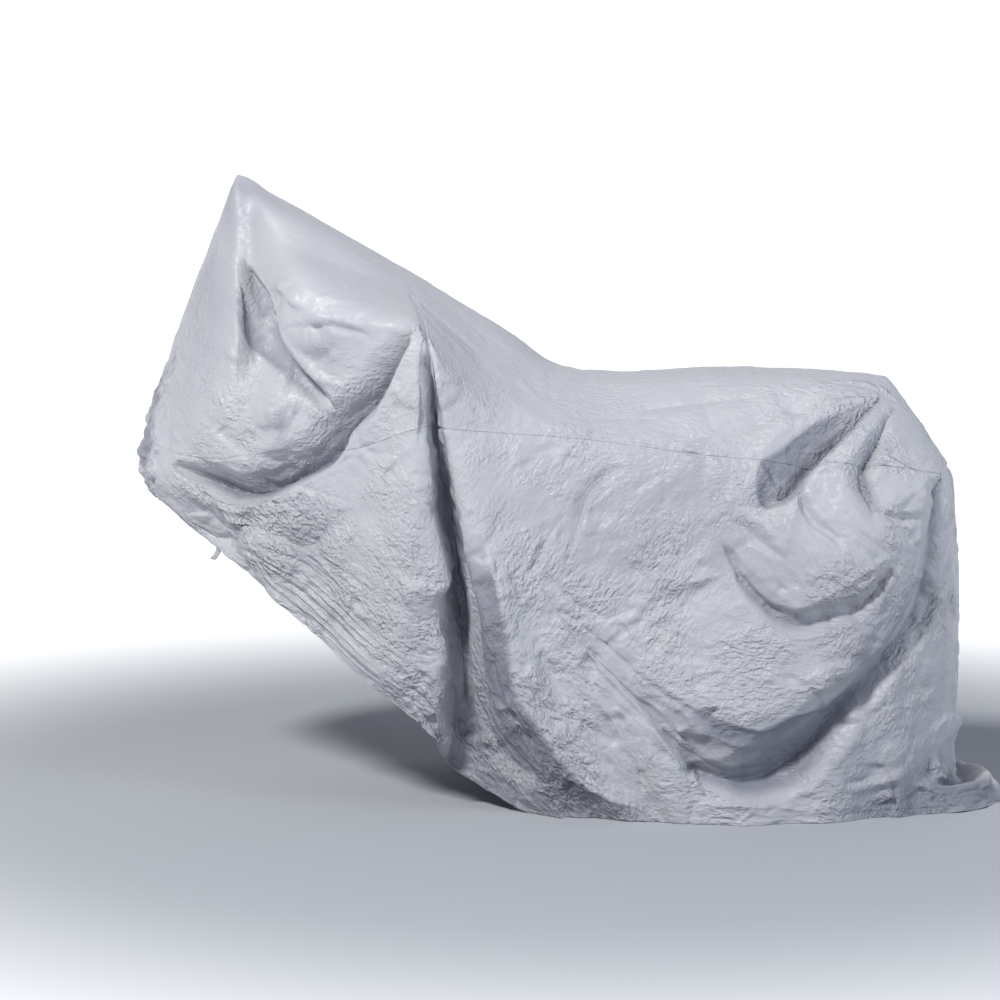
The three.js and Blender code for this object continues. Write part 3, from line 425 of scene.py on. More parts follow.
# What each side is made of; the half-widths are drawn for the left, and sway is where the hem's begins
SIDES = {
    LEFT: {
        "folds": LEFT_FOLDS, "tucks": LEFT_TUCKS, "painted_shade": LEFT_PAINTED_SHADE, "creases": LEFT_CREASES,
        "fans": LEFT_FANS, "grain": LEFT_GRAIN, "seed": 11, "sway": 0, "width": 1,
    },
    RIGHT: {
        "folds": RIGHT_FOLDS, "tucks": [], "painted_shade": [], "creases": RIGHT_CREASES,
        "fans": [], "grain": RIGHT_GRAIN, "seed": 12, "sway": 13, "width": 0.9,
    },
}
# The doubled angle of the lay, and the height of the fine crinkles, on the top and on the ends
FLAT_LAY, UPRIGHT_LAY = (1.0, 0.0, 0.15), (-1.0, 0.0, 0.7)
STREAK_PROFILE = 1.2    # of a crinkle's section: 2 a round bell, 1 a sharp one
CHART_CELL = 2.5        # in millimetres
INSIDE = 1.001          # cells by which a place stays within a chart's edge
REACH = {"streak": 3, "facet": 2.6}     # in half-widths of a streak, and in sizes of a facet
FACET_RISE = 3          # how fast a facet's tilt comes in from its edge
PAINTED_SHADE_DEPTHS = (4, 46)          # depths of fold over which painted shade darkens the cloth


def smoothstep(value, low, high):
    t = np.clip((value - low) / (high - low), 0, 1)
    return t * t * (3 - 2 * t)


def through(knots, places):
    """Smooth curve through all knots but the outer two, which only steer it. The knots lie the square
    root of their distance apart, so that near and far ones can follow each other without a loop."""
    left = np.clip(np.floor(places).astype(int), 0, len(knots) - 4)
    t = (places - left).reshape(-1, *[1] * (knots.ndim - 1))
    a, b, c, d = (knots[left + k] for k in range(4))

    def gap(p, q):
        return np.sqrt(np.linalg.norm(q - p, axis=-1, keepdims=True))

    middle = gap(b, c)
    middle = np.where(middle > 0, middle, 1)
    before, after = gap(a, b), gap(c, d)
    before = np.where(before > 0, before, middle)
    after = np.where(after > 0, after, middle)
    leave = ((b - a) / before - (c - a) / (before + middle)) * middle + c - b
    arrive = ((d - c) / after - (d - b) / (middle + after)) * middle + c - b
    u = 1 - t
    return b * (1 + 2 * t) * u * u + leave * t * u * u + c * t * t * (3 - 2 * t) - arrive * t * t * u


def control_points():
    """Ribs by rows, with one mirror image more at both ends and above the ridge."""
    net = np.zeros((len(RIBS), len(ROWS), 3))
    for k, (_name, ridge, *rest) in enumerate(RIBS):
        cap = np.array(ridge) + np.array(CAP) * (np.array(rest[0]) - ridge)
        net[k] = (ridge, cap, *rest)
    mirror = np.array((1, -1, 1))
    net = np.concatenate([net[:, 1:2] * mirror, net, net[:, -1:]], axis=1)
    return np.concatenate([net[1:2] * mirror, net, net[-2:-1] * mirror], axis=0)


NET = control_points()


def places_between(lengths, cell):
    """Places along knots that lie lengths apart, at most about one cell from each other."""
    steps = [max(1, math.ceil(length / cell)) for length in lengths]
    return np.concatenate([k + np.arange(n) / n for k, n in enumerate(steps)] + [[len(steps)]])


def widest(points, axis):
    """The largest distance between neighbours along one axis of the net."""
    step = np.linalg.norm(np.diff(points, axis=axis), axis=-1)
    return step.max(axis=1 - axis)


def surface(across, down, side):
    """The cloth before its folds, in millimetres: columns by rows by x, y, z."""
    rows = through(NET.transpose(1, 0, 2), down)
    net = through(rows.transpose(1, 0, 2), across)
    nose, tail = (np.argmin(np.abs(across - end)) for end in FAN_ENDS)
    if down[0] == 0:
        net[:nose, 0] = net[nose, 0]
        net[tail + 1:, 0] = net[tail, 0]
    x, half, z = net[..., 0], net[..., 1], net[..., 2]
    return np.stack([x, side * half * SIDES[side]["width"] - LEAN * z, z], axis=-1)


def outward(points, side):
    """Unit normals of a grid of columns by rows."""
    ahead = np.gradient(points, axis=0)
    below = np.gradient(points, axis=1)
    out = np.cross(below, ahead) * -side
    return out / np.maximum(np.linalg.norm(out, axis=-1, keepdims=True), 1e-9)


def fold_height(x, z, fold, samples=5):
    """How far one fold lifts the points of the side's chart, in millimetres."""
    _name, high, left, right, soft, sizes, line = fold
    knots = np.array(line, float)
    first, last = 2 * knots[0] - knots[1], 2 * knots[-1] - knots[-2]
    pieces = samples * (len(line) - 1)
    curve = through(np.vstack([first, knots, last]), np.arange(pieces + 1) / samples)
    reach = 3 * max(left, right)
    low, top = curve.min(axis=0) - reach, curve.max(axis=0) + reach
    near = (x > low[0]) & (x < top[0]) & (z > low[1]) & (z < top[1])
    here = np.stack([x[near], z[near]], axis=-1)
    best = np.full(len(here), np.inf)
    height = np.zeros(len(here))
    for k in range(pieces):
        run = curve[k + 1] - curve[k]
        away = here - curve[k]
        t = np.clip(away @ run / (run @ run), 0, 1)
        gap = np.linalg.norm(away - t[:, None] * run, axis=-1)
        above = run[0] * away[:, 1] - run[1] * away[:, 0] > 0
        size = np.interp((k + t) / pieces, np.linspace(0, 1, len(sizes)), sizes)
        nearer = gap < best
        share = gap / np.where(above, left, right)
        if soft < 1:
            wall = np.clip(1 - share / size, 0, 1)
            lift = high * size * (1 + soft) * wall ** 2 / (wall + soft)
        else:
            lift = high * size * np.exp(-(share ** soft))
        height = np.where(nearer, lift, height)
        best = np.where(nearer, gap, best)
    result = np.zeros_like(x)
    result[near] = height
    return result


def fan_of(name, first, last, count, high, half, rng):
    """Thin creases between two guide lines of as many points, some of them cut short."""
    creases = []
    for k in range(count):
        share = (k + rng.uniform(*FAN["across"])) / count
        line = np.array(first) * (1 - share) + np.array(last) * share
        start, end = rng.uniform(*FAN["start"]), rng.uniform(*FAN["end"])
        places = np.linspace(start, end, 4) * (len(line) - 1)
        points = list(zip(*(np.interp(places, np.arange(len(line)), line[:, c]) for c in (0, 1))))
        lift = high * rng.uniform(*FAN["height"]) * (1 if k % 3 == 2 else -1)
        left, right = half * rng.uniform(*FAN["left"]), half * rng.uniform(*FAN["right"])
        sizes = (rng.uniform(*FAN["first"]), 1, rng.uniform(*FAN["last"]))
        creases.append((name, lift, left, right, 1, sizes, points))
    return creases


def lay_of(table, places):
    """Which way the crinkles lie at places, as a doubled angle, with the grain's other values there."""
    grain = dict(zip(GRAIN, np.array(list(zip(*table)), float)))
    at = np.stack([grain["across"], grain["up"]], axis=-1)
    weight = np.exp(-np.sum((places[..., None, :] - at) ** 2, axis=-1) / grain["reach"] ** 2) + 1e-6
    weight /= weight.sum(axis=-1, keepdims=True)
    turn = 2 * np.radians(grain["slope"])
    lay = {key: weight @ grain[key] for key in ("spread", "length", "fine", "broad")}
    lay["turn"] = np.stack([weight @ np.cos(turn), weight @ np.sin(turn)], axis=-1)
    return lay


def slopes_of(lay):
    return np.arctan2(lay["turn"][:, 1], lay["turn"][:, 0]) / 2


def turned(u, v, slope):
    """How far places lie along a slope and across it."""
    c, s = math.cos(slope), math.sin(slope)
    return u * c + v * s, v * c - u * s


class Chart:
    """Small ridges and valleys on a flat chart, in millimetres; the highest one wins at each place."""

    def __init__(self, low, high):
        self.low = np.array(low, float)
        shape = np.ceil((np.array(high) - self.low) / CHART_CELL).astype(int) + 2
        self.ridges = np.zeros(shape)
        self.valleys = np.zeros(shape)
        self.facets = np.zeros(shape)

    def around(self, cell, first, last):
        """A part of the chart, and how far its cells lie from a place."""
        u, v = (np.arange(first[k], last[k]) - cell[k] for k in (0, 1))
        return np.s_[first[0]:last[0], first[1]:last[1]], u[:, None] * CHART_CELL, v[None, :] * CHART_CELL

    def streak(self, at, slope, length, width, high, bend=0.0):
        """One short crinkle, highest in its middle; bend is how far its ends curve aside."""
        reach = length / 2 + REACH["streak"] * width
        cell = (np.array(at) - self.low) / CHART_CELL
        first = np.maximum(np.floor(cell - reach / CHART_CELL).astype(int), 0)
        last = np.minimum(np.ceil(cell + reach / CHART_CELL).astype(int) + 1, self.ridges.shape)
        if (last <= first).any():
            return
        here, u, v = self.around(cell, first, last)
        along, aside = turned(u, v, slope)
        along = along / (length / 2)
        aside = aside - bend * along * along
        shape = np.clip(1 - along * along, 0, 1) * np.exp(-np.abs(aside / width) ** STREAK_PROFILE)
        target = self.ridges if high > 0 else self.valleys
        target[here] = np.maximum(target[here], abs(high) * shape)

    def fill(self, grain, rng):
        """Streaks all over the chart, lying as the grain's nearest places say."""
        size = np.array(self.ridges.shape) * CHART_CELL
        for settings in STREAKS:
            count = int(size[0] * size[1] * settings["per_area"])
            places = self.low + rng.random((count, 2)) * size
            lay = lay_of(grain, places)
            slope = slopes_of(lay) + np.radians(lay["spread"]) * rng.normal(0, VARY["slope"], count)
            length = lay["length"] * rng.uniform(*VARY["length"], count) * settings["longer"]
            width = rng.uniform(*settings["width"], count)
            high = lay[settings["height"]] * rng.uniform(*VARY["height"], count) * rng.choice((-1, 1), count)
            bend = rng.normal(0, VARY["bend"], count) * length
            for k in range(count):
                self.streak(places[k], slope[k], length[k], width[k], high[k], bend[k])

    def crumple(self, grain, rng):
        """Flat facets parted by thin creases, drawn out the way the grain lies."""
        size = np.array(self.ridges.shape) * CHART_CELL
        for facet in FACETS:
            nearest, second = (np.full(self.ridges.shape, np.inf) for _ in range(2))
            tilt = np.zeros(self.ridges.shape)
            count = int(size[0] * size[1] / (facet["size"] ** 2 * facet["longer"]))
            places = self.low + rng.random((count, 2)) * size
            lay = lay_of(grain, places)
            slope = slopes_of(lay) + rng.normal(0, facet["spread"], count)
            reach = int(REACH["facet"] * facet["size"] * facet["longer"] / CHART_CELL)
            lean = rng.normal(0, facet["tilt"], (count, 2))
            for k in range(count):
                cell = (places[k] - self.low) / CHART_CELL
                first = np.maximum(cell.astype(int) - reach, 0)
                last = np.minimum(cell.astype(int) + reach, self.ridges.shape)
                here, u, v = self.around(cell, first, last)
                along, aside = turned(u, v, slope[k])
                away = np.hypot(along / facet["longer"], aside)
                second[here] = np.minimum(second[here], np.maximum(nearest[here], away))
                tilt[here] = np.where(away < nearest[here], lean[k, 0] * u + lean[k, 1] * v, tilt[here])
                nearest[here] = np.minimum(nearest[here], away)
            inner = np.clip((second - nearest) / facet["size"], 0, 1)
            high = lay_of(grain, self.places())["broad"]
            self.facets += high * (facet["high"] * np.sqrt(inner) + np.minimum(inner * FACET_RISE, 1) * tilt)

    def places(self):
        """Where the chart's cells lie."""
        i, j = np.indices(self.ridges.shape)
        return self.low + np.stack([i, j], axis=-1) * CHART_CELL

    def puckers(self, rng, line, every, length, width, high, spread):
        """Short gathers across a sewn line."""
        knots = np.array(line, float)
        steps = np.linalg.norm(np.diff(knots, axis=0), axis=1)
        total, here = steps.sum(), 0.0
        reached = np.concatenate([[0], np.cumsum(steps)])
        while here < total:
            k = min(np.searchsorted(reached, here, side="right") - 1, len(steps) - 1)
            run = (knots[k + 1] - knots[k]) / steps[k]
            at = knots[k] + run * (here - reached[k])
            slope = math.atan2(run[0], -run[1]) + math.radians(rng.uniform(-spread, spread))
            size = length * rng.uniform(0.6, 1.3)
            shift = rng.uniform(-0.35, 0.35) * size
            at = at + shift * np.array((math.cos(slope), math.sin(slope)))
            half, lift = width * rng.uniform(0.7, 1.3), high * rng.uniform(0.5, 1.2) * rng.choice((-1, 1))
            self.streak(at, slope, size, half, lift, rng.normal(0, 0.1) * size)
            here += every * rng.uniform(0.5, 1.5)

    def height(self, u, v):
        """The relief at places of the chart, taken evenly between its cells."""
        field = self.ridges - self.valleys + self.facets
        x = np.clip((u - self.low[0]) / CHART_CELL, 0, field.shape[0] - INSIDE)
        y = np.clip((v - self.low[1]) / CHART_CELL, 0, field.shape[1] - INSIDE)
        i, j = x.astype(int), y.astype(int)
        s, t = x - i, y - j
        lower = field[i, j] * (1 - s) + field[i + 1, j] * s
        upper = field[i, j + 1] * (1 - s) + field[i + 1, j + 1] * s
        return lower * (1 - t) + upper * t


SIDE_SEAM = [(-590, 760), (-510, 772), (-425, 780), (-335, 785), (-250, 797), (-150, 838), (-98, 848),
             (-50, 845), (75, 832), (275, 812), (400, 792), (530, 778), (725, 765), (865, 763), (1000, 744)]
STRIP = {
    "every": 6, "length": 62, "width": 4.6, "height": 14,
    "side": {"low": (-790, 670), "high": (-748, 985), "half": 26, "slope": 68},
    "front": {"low": (-112, 640), "high": (-70, 985), "half": 34, "slope": 112},
}
PUCKERED_SEAM = [(520, 778), (620, 771), (725, 765), (800, 763), (865, 763)]
REAR_SEAM = [(1000, 740), (990, 620), (965, 500), (938, 375), (942, 250), (948, 130), (960, 60)]
# Gathers across the sewn lines: how far apart, length, half-width, height, and spread in degrees
PUCKERS = [
    (SIDE_SEAM, 11, 26, 3.2, 1.3, 35),
    (PUCKERED_SEAM, 8, 42, 4.2, 3.4, 50),
    (REAR_SEAM, 12, 44, 5, 3.2, 45),
]
# Lowest and highest corners of the charts: (x, z) for the side, (x, y) for the top, (y, z) for the ends
CHARTS = {
    "side": ((-860, -30), (1190, 1430)),
    "top": ((-860, -420), (1190, 420)),
    "front": ((-420, 480), (420, 1430)),
    "rear": ((-420, -30), (420, 1010)),
}


def make_charts(side):
    """The side's own chart, and those of the top, front and rear as this side sees them."""
    rng = np.random.default_rng(SIDES[side]["seed"])
    grains = {"side": SIDES[side]["grain"], "top": TOP_GRAIN, "front": FRONT_GRAIN, "rear": REAR_GRAIN}
    charts = {name: Chart(*corners) for name, corners in CHARTS.items()}
    for name, grain in grains.items():
        charts[name].fill(grain, rng)
        charts[name].crumple(grain, rng)
    for row in PUCKERS:
        charts["side"].puckers(rng, *row)
    if side == LEFT:
        for name in ("side", "front"):
            gather_strip(charts[name], STRIP[name], rng)
    return charts


def gather_strip(chart, place, rng):
    """Close slanted gathers on the elastic strip beside the nose."""
    low, high = np.array(place["low"], float), np.array(place["high"], float)
    count = int((high[1] - low[1]) / STRIP["every"])
    for k in range(count):
        aside = rng.uniform(-place["half"], place["half"])
        at = low + (high - low) * (k + rng.uniform(-0.4, 0.4)) / count + (aside, 0)
        slope = math.radians(place["slope"] + rng.normal(0, 9))
        length, width = STRIP["length"] * rng.uniform(0.5, 1.3), STRIP["width"] * rng.uniform(0.8, 1.5)
        lift = STRIP["height"] * rng.uniform(0.5, 1.2) * (-1 if k % 3 else 1)
        chart.streak(at, slope, length, width, lift, rng.normal(0, 4))


def seam_shown(x):
    """How plainly the side seam shows; towards the nose its lap lies flat."""
    return SEAM["least"] + (1 - SEAM["least"]) * smoothstep(x, *SEAM["fades"])


def shares(normals):
    """How far the cloth faces the ends, the side and the top; the three add up to one."""
    share = np.abs(normals) ** 3
    return share / np.maximum(share.sum(axis=-1, keepdims=True), 1e-9)


def relief(charts, points, normals):
    """Height of the crinkles, each chart in the measure in which the cloth faces it."""
    share = shares(normals)
    x, y, z = points[..., 0], points[..., 1] + LEAN * points[..., 2], points[..., 2]
    ends = np.where(normals[..., 0] < 0, charts["front"].height(y, z), charts["rear"].height(y, z))
    return (share[..., 1] * charts["side"].height(x, z)
            + share[..., 2] * charts["top"].height(x, y) + share[..., 0] * ends)


def lay_on(side, points, normals):
    """For the shader: the doubled angle of the crinkles' lay, and how high the fine ones are."""
    share = shares(normals)
    side_lay = lay_of(SIDES[side]["grain"], points[..., [0, 2]])
    lay = np.concatenate([side_lay["turn"], side_lay["fine"][..., None]], axis=-1)
    return share[..., 1:2] * lay + share[..., 2:3] * FLAT_LAY + share[..., 0:1] * UPRIGHT_LAY


def run_from(points, row):
    """Signed length of cloth down each column from one row, in millimetres."""
    step = np.linalg.norm(np.diff(points, axis=1), axis=-1)
    length = np.concatenate([np.zeros((len(points), 1)), np.cumsum(step, axis=1)], axis=1)
    return length - length[:, row:row + 1]


def bell(distance, width):
    return np.exp(-(distance / width) ** 2)


def heights(x, z, folds):
    return [fold_height(x, z, fold) for fold in folds]


def off_middle(across, reach):
    """From nought on the middle lines at the nose and tail to one, a column of values by ribs."""
    return (smoothstep(across, 0, reach) * smoothstep(across[-1] - across, 0, reach))[:, None]


def make_side(side, across, down):
    """One side of the cover, folded, creased and crinkled: its points in millimetres, their normals, and how
    much painted shade darkens the cloth there."""
    points, made_of = surface(across, down, side), SIDES[side]
    chart_x, chart_z = points[..., 0].copy(), points[..., 2].copy()
    for x, along, lift in RIDGE_LIFTS:
        points[..., 2] += lift * bell(chart_x - x, along) * (1 - smoothstep(down, 0, RIDGE_FADE))
    normals = outward(points, side)
    facing = smoothstep(np.abs(normals[..., 1]), *FACING)
    free = smoothstep(down, 0, 1) * (1 - smoothstep(down, TOE_ROW, HEM_ROW))
    closed = off_middle(across, CLOSING)
    facing = facing * closed
    height = sum(heights(chart_x, chart_z, made_of["folds"])) * free
    height = height + sum(heights(chart_x, chart_z, made_of["tucks"]))
    # painted shade: the cloth is darkened at the listed shaded places and by the depth of its folds
    painted_shade = np.max([np.zeros_like(height), *heights(chart_x, chart_z, made_of["painted_shade"])], axis=0)
    painted_shade = painted_shade * off_middle(across, PAINTED_SHADE_FADE) * smoothstep(down, 0, PAINTED_SHADE_FADE)
    painted_shade_mask = np.maximum(smoothstep(-height * facing, *PAINTED_SHADE_DEPTHS), np.minimum(painted_shade, 1))
    points = points + normals * (height * facing)[..., None]
    low = smoothstep(down, ANKLE_ROW - 1, HEM_ROW)
    sway = SWAY["size"] * np.sin(SWAY["waves"] * across * math.pi + made_of["sway"])
    points[..., 1] += side * sway[:, None] * low * facing

    normals = outward(points, side)
    seam_row, hem_row = np.argmin(np.abs(down - SEAM_ROW)), len(down) - 1
    from_seam, from_hem = run_from(points, seam_row), run_from(points, hem_row)
    rng = np.random.default_rng(FAN_SEED)
    creases = made_of["creases"] + [crease for fan in made_of["fans"] for crease in fan_of(*fan, rng)]
    crease = sum(heights(chart_x, chart_z, creases)) * facing
    small = relief(make_charts(side), np.stack([chart_x, points[..., 1], chart_z], axis=-1), normals)
    quiet = 1 - SEAM["quiet"] * bell(from_seam, SEAM["fell"] / 3)
    fell = SEAM["raise"] * smoothstep(-from_seam, -1, 0)
    fell = fell * (1 - smoothstep(-from_seam, SEAM["fell"] - 1, SEAM["fell"]))
    stitched = -SEAM["groove"] * bell(from_seam + SEAM["fell"], SEAM["stitch"])
    sewn = (fell + stitched) * seam_shown(chart_x)
    hemmed = -HEM["groove"] * bell(from_hem + HEM["width"], HEM["stitch"])
    lifted = smoothstep(down, 0, RELIEF_IN) * closed
    calm = 1 - HEM_CALM * smoothstep(down, TOE_ROW, HEM_ROW)
    height = crease * calm + small * quiet + sewn + hemmed
    points = points + normals * (height * lifted)[..., None]
    points[..., 2] = np.maximum(points[..., 2], LEAST_HEIGHT)
    return points, outward(points, side), painted_shade_mask


# Depths in cloth thicknesses: of the first rows under the seam, of the lap, and of the hem's inner face
# at shares of its turn
UNDER_SEAM = (1.0, 0.55, 0.2)
LAP_DEPTH = 1.3
HEM_TURN = [(-0.04, 0.5), (0.1, 1.0), (0.3, 1.1), (0.55, 1.0), (0.8, 1.1), (1.0, 1.0)]


def along_column(values, length, at):
    """Values of each column at one length of cloth from the row that the lengths start at."""
    return np.array([[np.interp(at, run, column[:, k]) for k in range(3)]
                     for column, run in zip(values, length)])


class Cloth:
    """A side of the cover with what its panels need: where its seams and its hem lie."""

    def __init__(self, side, across, down):
        self.down = down
        self.points, self.normals, painted_shade_mask = make_side(side, across, down)
        # the marks: the lay of the crinkles, and the painted shade mask
        self.marks = np.concatenate([lay_on(side, self.points, self.normals), painted_shade_mask[..., None]], axis=-1)
        self.seam_row = int(np.argmin(np.abs(down - SEAM_ROW)))
        ends = (FRONT_SEAM_RIB, REAR_SEAM_RIB)
        self.front, self.rear = (int(np.argmin(np.abs(across - rib))) for rib in ends)

    def crown(self):
        """Rows from the ridge to the seam, with the lower edge turned in."""
        rows = slice(0, self.seam_row)
        seam, out = self.points[:, self.seam_row], self.normals[:, self.seam_row]
        near = along_column(self.points, run_from(self.points, self.seam_row), -SEAM["crisp"])
        edge = seam - out * (SEAM["thick"] * seam_shown(seam[:, :1]))
        added = np.stack([near, seam, edge], axis=1)
        return self.with_marks(np.concatenate([self.points[:, rows], added], axis=1), 0)

    def with_marks(self, points, first):
        """The points with the marks of the rows from the first on; rows that are added have their end's."""
        rows = np.clip(first + np.arange(points.shape[1]), 0, len(self.down) - 1)
        return np.concatenate([points, self.marks[:, rows]], axis=-1)

    def lower(self):
        """Rows from just under the seam to the hem, tucked under the crown and turned in at the hem."""
        s = self.seam_row
        thick = SEAM["thick"] * seam_shown(self.points[:, s, :1])
        from_seam, from_hem = run_from(self.points, s), run_from(self.points, len(self.down) - 1)
        rows = self.points[:, s:].copy()
        for k, depth in enumerate(UNDER_SEAM):
            rows[:, k] -= self.normals[:, s + k] * thick * depth
        tucked = along_column(self.points, from_seam, -SEAM["lap"])
        tucked -= along_column(self.normals, from_seam, -SEAM["lap"]) * thick * LAP_DEPTH
        edge = []
        for share, depth in HEM_TURN:
            at = -share * HEM["turn"]
            row = along_column(self.points, from_hem, min(at, 0))
            row -= along_column(self.normals, from_hem, min(at, 0)) * HEM["thick"] * depth
            row[:, 2] -= max(at, 0)
            edge.append(row)
        edge = np.stack(edge, axis=1)
        edge[..., 2] = np.maximum(edge[..., 2], HEM["least"])
        return self.with_marks(np.concatenate([tucked[:, None], rows, edge], axis=1), s - 1)


def placed(name, data):
    """A new object in the scene."""
    thing = bpy.data.objects.new(name, data)
    bpy.context.collection.objects.link(thing)
    return thing


def smooth_piece(name, mesh, work):
    """A smooth object of a mesh, after some work on its faces."""
    body = bmesh.new()
    body.from_mesh(mesh)
    work(body)
    body.to_mesh(mesh)
    body.free()
    mesh.polygons.foreach_set("use_smooth", np.ones(len(mesh.polygons), bool))
    mesh.update()
    return placed(name, mesh)


WELD = 2e-5     # in metres: points nearer to each other than this become one


def join(name, grids):
    """One mesh of several grids of points and marks. Each comes with the side it belongs to."""
    vertices, faces, start = [], [], 0
    for grid, side in grids:
        n, m = grid.shape[:2]
        index = start + np.arange(n * m).reshape(n, m)
        corners = (index[:-1, :-1], index[:-1, 1:], index[1:, 1:], index[1:, :-1])
        corners = corners if side == LEFT else corners[::-1]
        faces.append(np.stack(corners, axis=-1).reshape(-1, 4))
        vertices.append(grid.reshape(n * m, -1))
        start += n * m
    vertices, lay, painted_shade_mask = np.split(np.concatenate(vertices), [3, 6], axis=1)
    vertices = vertices * MM + np.array(shift)
    faces = np.concatenate(faces)
    mesh = bpy.data.meshes.new(name)
    mesh.vertices.add(len(vertices))
    mesh.vertices.foreach_set("co", vertices.ravel())
    mesh.loops.add(faces.size)
    mesh.loops.foreach_set("vertex_index", faces.ravel())
    mesh.polygons.add(len(faces))
    mesh.polygons.foreach_set("loop_start", np.arange(len(faces)) * 4)
    mesh.update(calc_edges=True)
    mesh.attributes.new("lay", "FLOAT_VECTOR", "POINT").data.foreach_set("vector", lay.ravel())
    # the painted shade mask goes onto the mesh, for the shader to darken the colour by
    mesh.attributes.new("painted_shade_mask", "FLOAT", "POINT").data.foreach_set("value", painted_shade_mask.ravel())
    return smooth_piece(
        name, mesh, lambda body: bmesh.ops.remove_doubles(body, verts=body.verts, dist=WELD),
    )


# The coated cloth: its colours, the last of them a painted shade for its folds and shaded places, how rough
# and how glossy it is, and the scale of its patches
CLOTH = {
    "light": (0.425, 0.43, 0.457, 1), "dark": (0.37, 0.385, 0.43, 1), "painted_shade": (0.195, 0.205, 0.248, 1),
    "rough": (0.42, 0.58), "rough scale": 90.0, "gloss": 0.4, "scale": 3.5,
}
# Crinkles in the shader's bump, in metres: streaks along the way the cloth lies, with their length, width
# and height, and straight creases. They wander by a warp and come in patches, over a range of a noise.
STREAK = {"length": 0.017, "width": 0.0075, "height": 0.0078, "start": 1.7}
# Angles in degrees along which the streaks are drawn, and how the cloth's lay turns into their weight
LAY = {"angles": (0, 60, 120), "gain": 0.75, "base": 0.3}
CREASES = {"scale": 75.0, "width": 0.16, "height": 0.0034, "middle": 0.48}
WARP = {"scale": 26.0, "reach": 0.012}
ROUGH_NOISE = 0.55      # how strong the finer octaves of the noises are
PATCHES = {"scale": 8.0, "range": (0.35, 0.65), "share": (0.35, 1.35)}
WEBBING = {
    "light": (0.6, 0.6, 0.61, 1), "dark": (0.5, 0.5, 0.52, 1), "rough": 0.75,
    "scale": 300.0, "ribs": 420.0, "wander": 0.4, "strength": 0.7, "height": 0.0003,
}


def put(tree, socket, value):
    """Sets an input socket to a value, or to what another node gives."""
    if isinstance(value, bpy.types.NodeSocket):
        tree.links.new(value, socket)
    else:
        socket.default_value = value


def fed(tree, made, **inputs):
    """A shader node with its input sockets set by name."""
    for name, value in inputs.items():
        put(tree, made.inputs[name.replace("_", " ")], value)
    return made


def new_node(tree, kind, **inputs):
    """A new shader node with its input sockets set by name."""
    return fed(tree, tree.nodes.new("ShaderNode" + kind), **inputs)


def new_material(name, **inputs):
    """A new material with its tree and its shader."""
    material = bpy.data.materials.new(name)
    material.use_nodes = True
    tree = material.node_tree
    return material, tree, fed(tree, tree.nodes["Principled BSDF"], **inputs)


def calculate(tree, operation, *values, kind="Math", output="Value"):
    """A math node; each value is a number or what another node gives."""
    made = new_node(tree, kind)
    made.operation = operation
    for socket, value in zip(made.inputs, values):
        put(tree, socket, value)
    return made.outputs[output]


def ranged(tree, value, low, high, to_low, to_high):
    """A value smoothly taken from one range to another."""
    made = new_node(tree, "MapRange", From_Min=low, From_Max=high, To_Min=to_low, To_Max=to_high)
    fed(tree, made, Value=value)
    made.interpolation_type = "SMOOTHSTEP"
    return made.outputs["Result"]


def mixed(tree, first, second, share):
    """A colour between two."""
    made = new_node(tree, "Mix")
    made.data_type = "RGBA"
    return fed(tree, made, A=first, B=second, Factor=share).outputs["Result"]


def place_in(tree, kind="Object"):
    return new_node(tree, "TexCoord").outputs[kind]


def mark_of(tree, name, output):
    """A mark of the mesh."""
    made = new_node(tree, "Attribute")
    made.attribute_name = name
    return made.outputs[output]


def noise_at(tree, where, scale, detail, output="Fac"):
    made = new_node(tree, "TexNoise", Scale=scale, Detail=detail, Roughness=ROUGH_NOISE, Vector=where)
    return made.outputs[output]


def bumped(tree, height, strength=1.0, distance=1.0):
    return new_node(tree, "Bump", Strength=strength, Distance=distance, Height=height).outputs["Normal"]


def warped(tree, where):
    """The place, pushed aside by a slow noise, so that what is drawn along it wanders."""
    push = noise_at(tree, where, WARP["scale"], 0.0, "Color")
    reach = (WARP["reach"],) * 3
    return calculate(tree, "MULTIPLY_ADD", push, reach, where, kind="VectorMath", output="Vector")


def streak_height(tree, where, lay):
    """Soft streaks: noise drawn out along some angles, each weighed by how near the cloth lies to it."""
    total = 0.0
    for angle in LAY["angles"]:
        turn = math.radians(angle)
        drawn = new_node(tree, "Mapping")
        drawn.vector_type = "TEXTURE"
        size = (STREAK["length"], STREAK["width"], STREAK["width"])
        start = (STREAK["start"], angle * 0.01, 0)
        fed(tree, drawn, Location=start, Rotation=(0, -turn, 0), Scale=size, Vector=where)
        noise = noise_at(tree, drawn.outputs["Vector"], 1.0, 1.0)
        along = calculate(tree, "MULTIPLY", lay["X"], math.cos(2 * turn))
        along = calculate(tree, "MULTIPLY_ADD", lay["Y"], math.sin(2 * turn), along)
        weight = calculate(tree, "MULTIPLY_ADD", along, LAY["gain"], LAY["base"])
        weight = calculate(tree, "MAXIMUM", weight, 0.0)
        total = calculate(tree, "MULTIPLY_ADD", weight, noise, total)
    return calculate(tree, "MULTIPLY", total, STREAK["height"])


def crease_height(tree, where):
    """Straight creases between small facets, now raised and now sunk."""
    cells = new_node(tree, "TexVoronoi", Scale=CREASES["scale"], Vector=where)
    cells.feature = "DISTANCE_TO_EDGE"
    edge = ranged(tree, cells.outputs["Distance"], 0, CREASES["width"], CREASES["height"], 0)
    swing = calculate(tree, "SUBTRACT", noise_at(tree, where, CREASES["scale"] / 2, 0.0), CREASES["middle"])
    return calculate(tree, "MULTIPLY", edge, swing)


